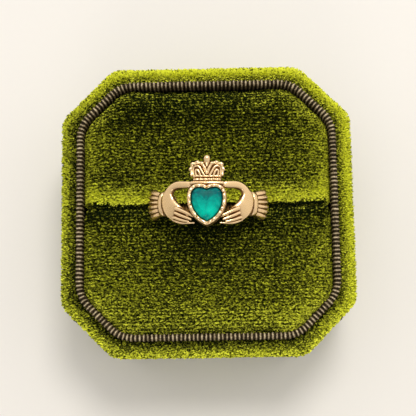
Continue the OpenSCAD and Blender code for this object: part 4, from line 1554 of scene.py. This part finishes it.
FLOOR_HALF = 900  # millimetres from the box to the floor's edge
SENSOR = 36  # millimetres across the camera's sensor
PHOTO_WIDTH, PHOTO_SCALE = 416, 5.53  # pixels across the photo, and to a millimetre of the rim at its middle
CAMERA_TURN = (-9.15, -0.83, 1.01)  # degrees about X, Y and Z, from looking straight down
AIM = (0.155, 0.155)  # millimetres from the box's middle to where the camera looks, at the height of the rim


def paper_floor(look):
    """A plain pale floor with a fine, faint grain."""
    material, w, shader, where = new_material("pale floor")
    soft, fibres = w.noise(where, SOFT_SCALE, 3.0), w.noise(where, FIBRE_SCALE, 2.0, 0.6)
    level = w.plus(w.times(soft, 0.7), w.times(fibres, 0.3))
    w.feed(shader.inputs["Base Color"], w.blend(level, tuple(c * 0.94 for c in look.paper), look.paper))
    w.feed(shader.inputs["Roughness"], w.mix(fibres, 0.75, 0.9))
    plain_inputs(shader, {"Specular IOR Level": 0.2})
    floor, r = Form(), FLOOR_HALF
    floor.add([(-r, -r, 0), (r, -r, 0), (r, r, 0), (-r, r, 0)], [[0, 1, 2, 3]])
    obj = new_object("pale_floor", floor.mesh("pale_floor"), smooth=False)
    obj.data.materials.append(material)


def studio_sky(scene, look):
    """Even light all round, brighter from the back and the right."""
    world = scene.world or bpy.data.worlds.new("studio")
    scene.world = world
    world.use_nodes = True
    sky = world.node_tree.nodes["Background"]
    w = Wires(world.node_tree)
    towards = w.split(w.add("ShaderNodeTexCoord").outputs["Generated"])
    level = w.reach(w.plus(towards[1], w.times(towards[0], 0.25)), -0.75, 0.75, 0.6, 1.45)
    w.feed(sky.inputs["Color"], w.blend(w.math("DIVIDE", level, 1.5), (0, 0, 0), (1.5, 1.46, 1.41)))
    sky.inputs["Strength"].default_value = look.fill


def lamp(scene, name, at, size, power, colour):
    """A soft round lamp that faces the box, with its place and its size in metres."""
    data = bpy.data.lights.new(name, "AREA")
    data.shape, data.size, data.energy, data.color = "DISK", size, power, colour
    light = bpy.data.objects.new(name, data)
    light.location = at
    light.rotation_mode = "QUATERNION"
    light.rotation_quaternion = (Vector((0, 0, 0.02)) - Vector(at)).to_track_quat("-Z", "Y")
    scene.collection.objects.link(light)


def photo_camera(scene, box, look):
    """The camera of the photo, almost straight above the box."""
    camera = bpy.data.cameras.new("camera")
    camera.sensor_width, camera.lens = SENSOR, SENSOR * PHOTO_SCALE * look.height / PHOTO_WIDTH
    camera.clip_start, camera.clip_end = 0.01, 10
    eye = bpy.data.objects.new("camera", camera)
    x, y, z = (Matrix.Rotation(math.radians(v), 3, axis) for v, axis in zip(CAMERA_TURN, "XYZ"))
    turned = (z @ y @ x).transposed()
    place = Vector((*AIM, box.wall_height)) + turned @ Vector((0, 0, look.height))
    eye.matrix_world = Matrix.Translation(place * MM) @ turned.to_4x4()
    scene.collection.objects.link(eye)
    scene.camera = eye


def build_stage(box, look):
    """The floor, the sky, two soft lamps and the camera."""
    scene = bpy.context.scene
    paper_floor(look)
    studio_sky(scene, look)
    lamp(scene, "key", (0.06, 0.19, 0.44), 0.16, look.key, (1.0, 0.97, 0.92))
    lamp(scene, "front fill", (-0.05, -0.42, 0.30), 0.25, look.key * 0.36, (1.0, 0.95, 0.9))
    photo_camera(scene, box, look)
    scene.view_settings.view_transform = "Standard"


# Operators


def settings(context):
    return context.scene.ring_box


class RINGBOX_OT_velvet_wall(bpy.types.Operator):
    """Build the velvet wall of the box"""

    bl_idname = "ringbox.velvet_wall"
    bl_label = "Velvet Wall"

    def execute(self, context):
        s = settings(context)
        build_wall(in_mm(s.box), in_mm(s.pile))
        return {"FINISHED"}


class RINGBOX_OT_ribbon_collar(bpy.types.Operator):
    """Build the grosgrain collar inside the wall"""

    bl_idname = "ringbox.ribbon_collar"
    bl_label = "Ribbon Collar"

    def execute(self, context):
        build_collar(in_mm(settings(context).box))
        return {"FINISHED"}


class RINGBOX_OT_velvet_pads(bpy.types.Operator):
    """Build the two stuffed velvet pads"""

    bl_idname = "ringbox.velvet_pads"
    bl_label = "Velvet Pads"

    def execute(self, context):
        s = settings(context)
        groups = [in_mm(g) for g in (s.box, s.pads, s.ring, s.pile)]
        build_pad("velvet_pad_back", "back_cushion", 1, *groups)
        build_pad("velvet_pad_front", "front_cushion", -1, *groups)
        return {"FINISHED"}


class RINGBOX_OT_ring(bpy.types.Operator):
    """Build the cast gold ring"""

    bl_idname = "ringbox.ring"
    bl_label = "Gold Ring"

    def execute(self, context):
        s = settings(context)
        build_ring(in_mm(s.box), in_mm(s.ring), in_mm(s.stone))
        return {"FINISHED"}


class RINGBOX_OT_stone(bpy.types.Operator):
    """Build the heart stone"""

    bl_idname = "ringbox.stone"
    bl_label = "Heart Stone"

    def execute(self, context):
        s = settings(context)
        build_stone(in_mm(s.box), in_mm(s.ring), in_mm(s.stone))
        return {"FINISHED"}


class RINGBOX_OT_stage(bpy.types.Operator):
    """Set up the floor, the light and the camera"""

    bl_idname = "ringbox.stage"
    bl_label = "Stage"

    def execute(self, context):
        s = settings(context)
        build_stage(in_mm(s.box), in_mm(s.stage))
        return {"FINISHED"}


class RINGBOX_PT_panel(bpy.types.Panel):
    """Lists the ring box's pieces and their settings"""

    bl_label = "Ring Box"
    bl_idname = "RINGBOX_PT_panel"
    bl_space_type = "VIEW_3D"
    bl_region_type = "UI"
    bl_category = "Ring Box"

    def draw(self, context):
        layout, s = self.layout, settings(context)
        for operator, groups in (
            (RINGBOX_OT_velvet_wall, (s.box, s.pile)),
            (RINGBOX_OT_ribbon_collar, ()),
            (RINGBOX_OT_velvet_pads, (s.pads,)),
            (RINGBOX_OT_ring, (s.ring,)),
            (RINGBOX_OT_stone, (s.stone,)),
            (RINGBOX_OT_stage, (s.stage,)),
        ):
            column = layout.box().column(align=True)
            column.operator(operator.bl_idname)
            for group in groups:
                for prop in group.bl_rna.properties:
                    if prop.identifier not in ("rna_type", "name"):
                        column.prop(group, prop.identifier)


CLASSES = (
    BoxSizes,
    PadSizes,
    PileLook,
    RingSizes,
    StoneSizes,
    StageLook,
    RingBoxSettings,
    RINGBOX_OT_velvet_wall,
    RINGBOX_OT_ribbon_collar,
    RINGBOX_OT_velvet_pads,
    RINGBOX_OT_ring,
    RINGBOX_OT_stone,
    RINGBOX_OT_stage,
    RINGBOX_PT_panel,
)


def register():
    for cls in CLASSES:
        bpy.utils.register_class(cls)
    bpy.types.Scene.ring_box = PointerProperty(type=RingBoxSettings)


def unregister():
    del bpy.types.Scene.ring_box
    for cls in reversed(CLASSES):
        bpy.utils.unregister_class(cls)


def main():
    register()
    for build in ("stage", "velvet_wall", "ribbon_collar", "velvet_pads", "ring", "stone"):
        getattr(bpy.ops.ringbox, build)()


if __name__ == "__main__":
    main()
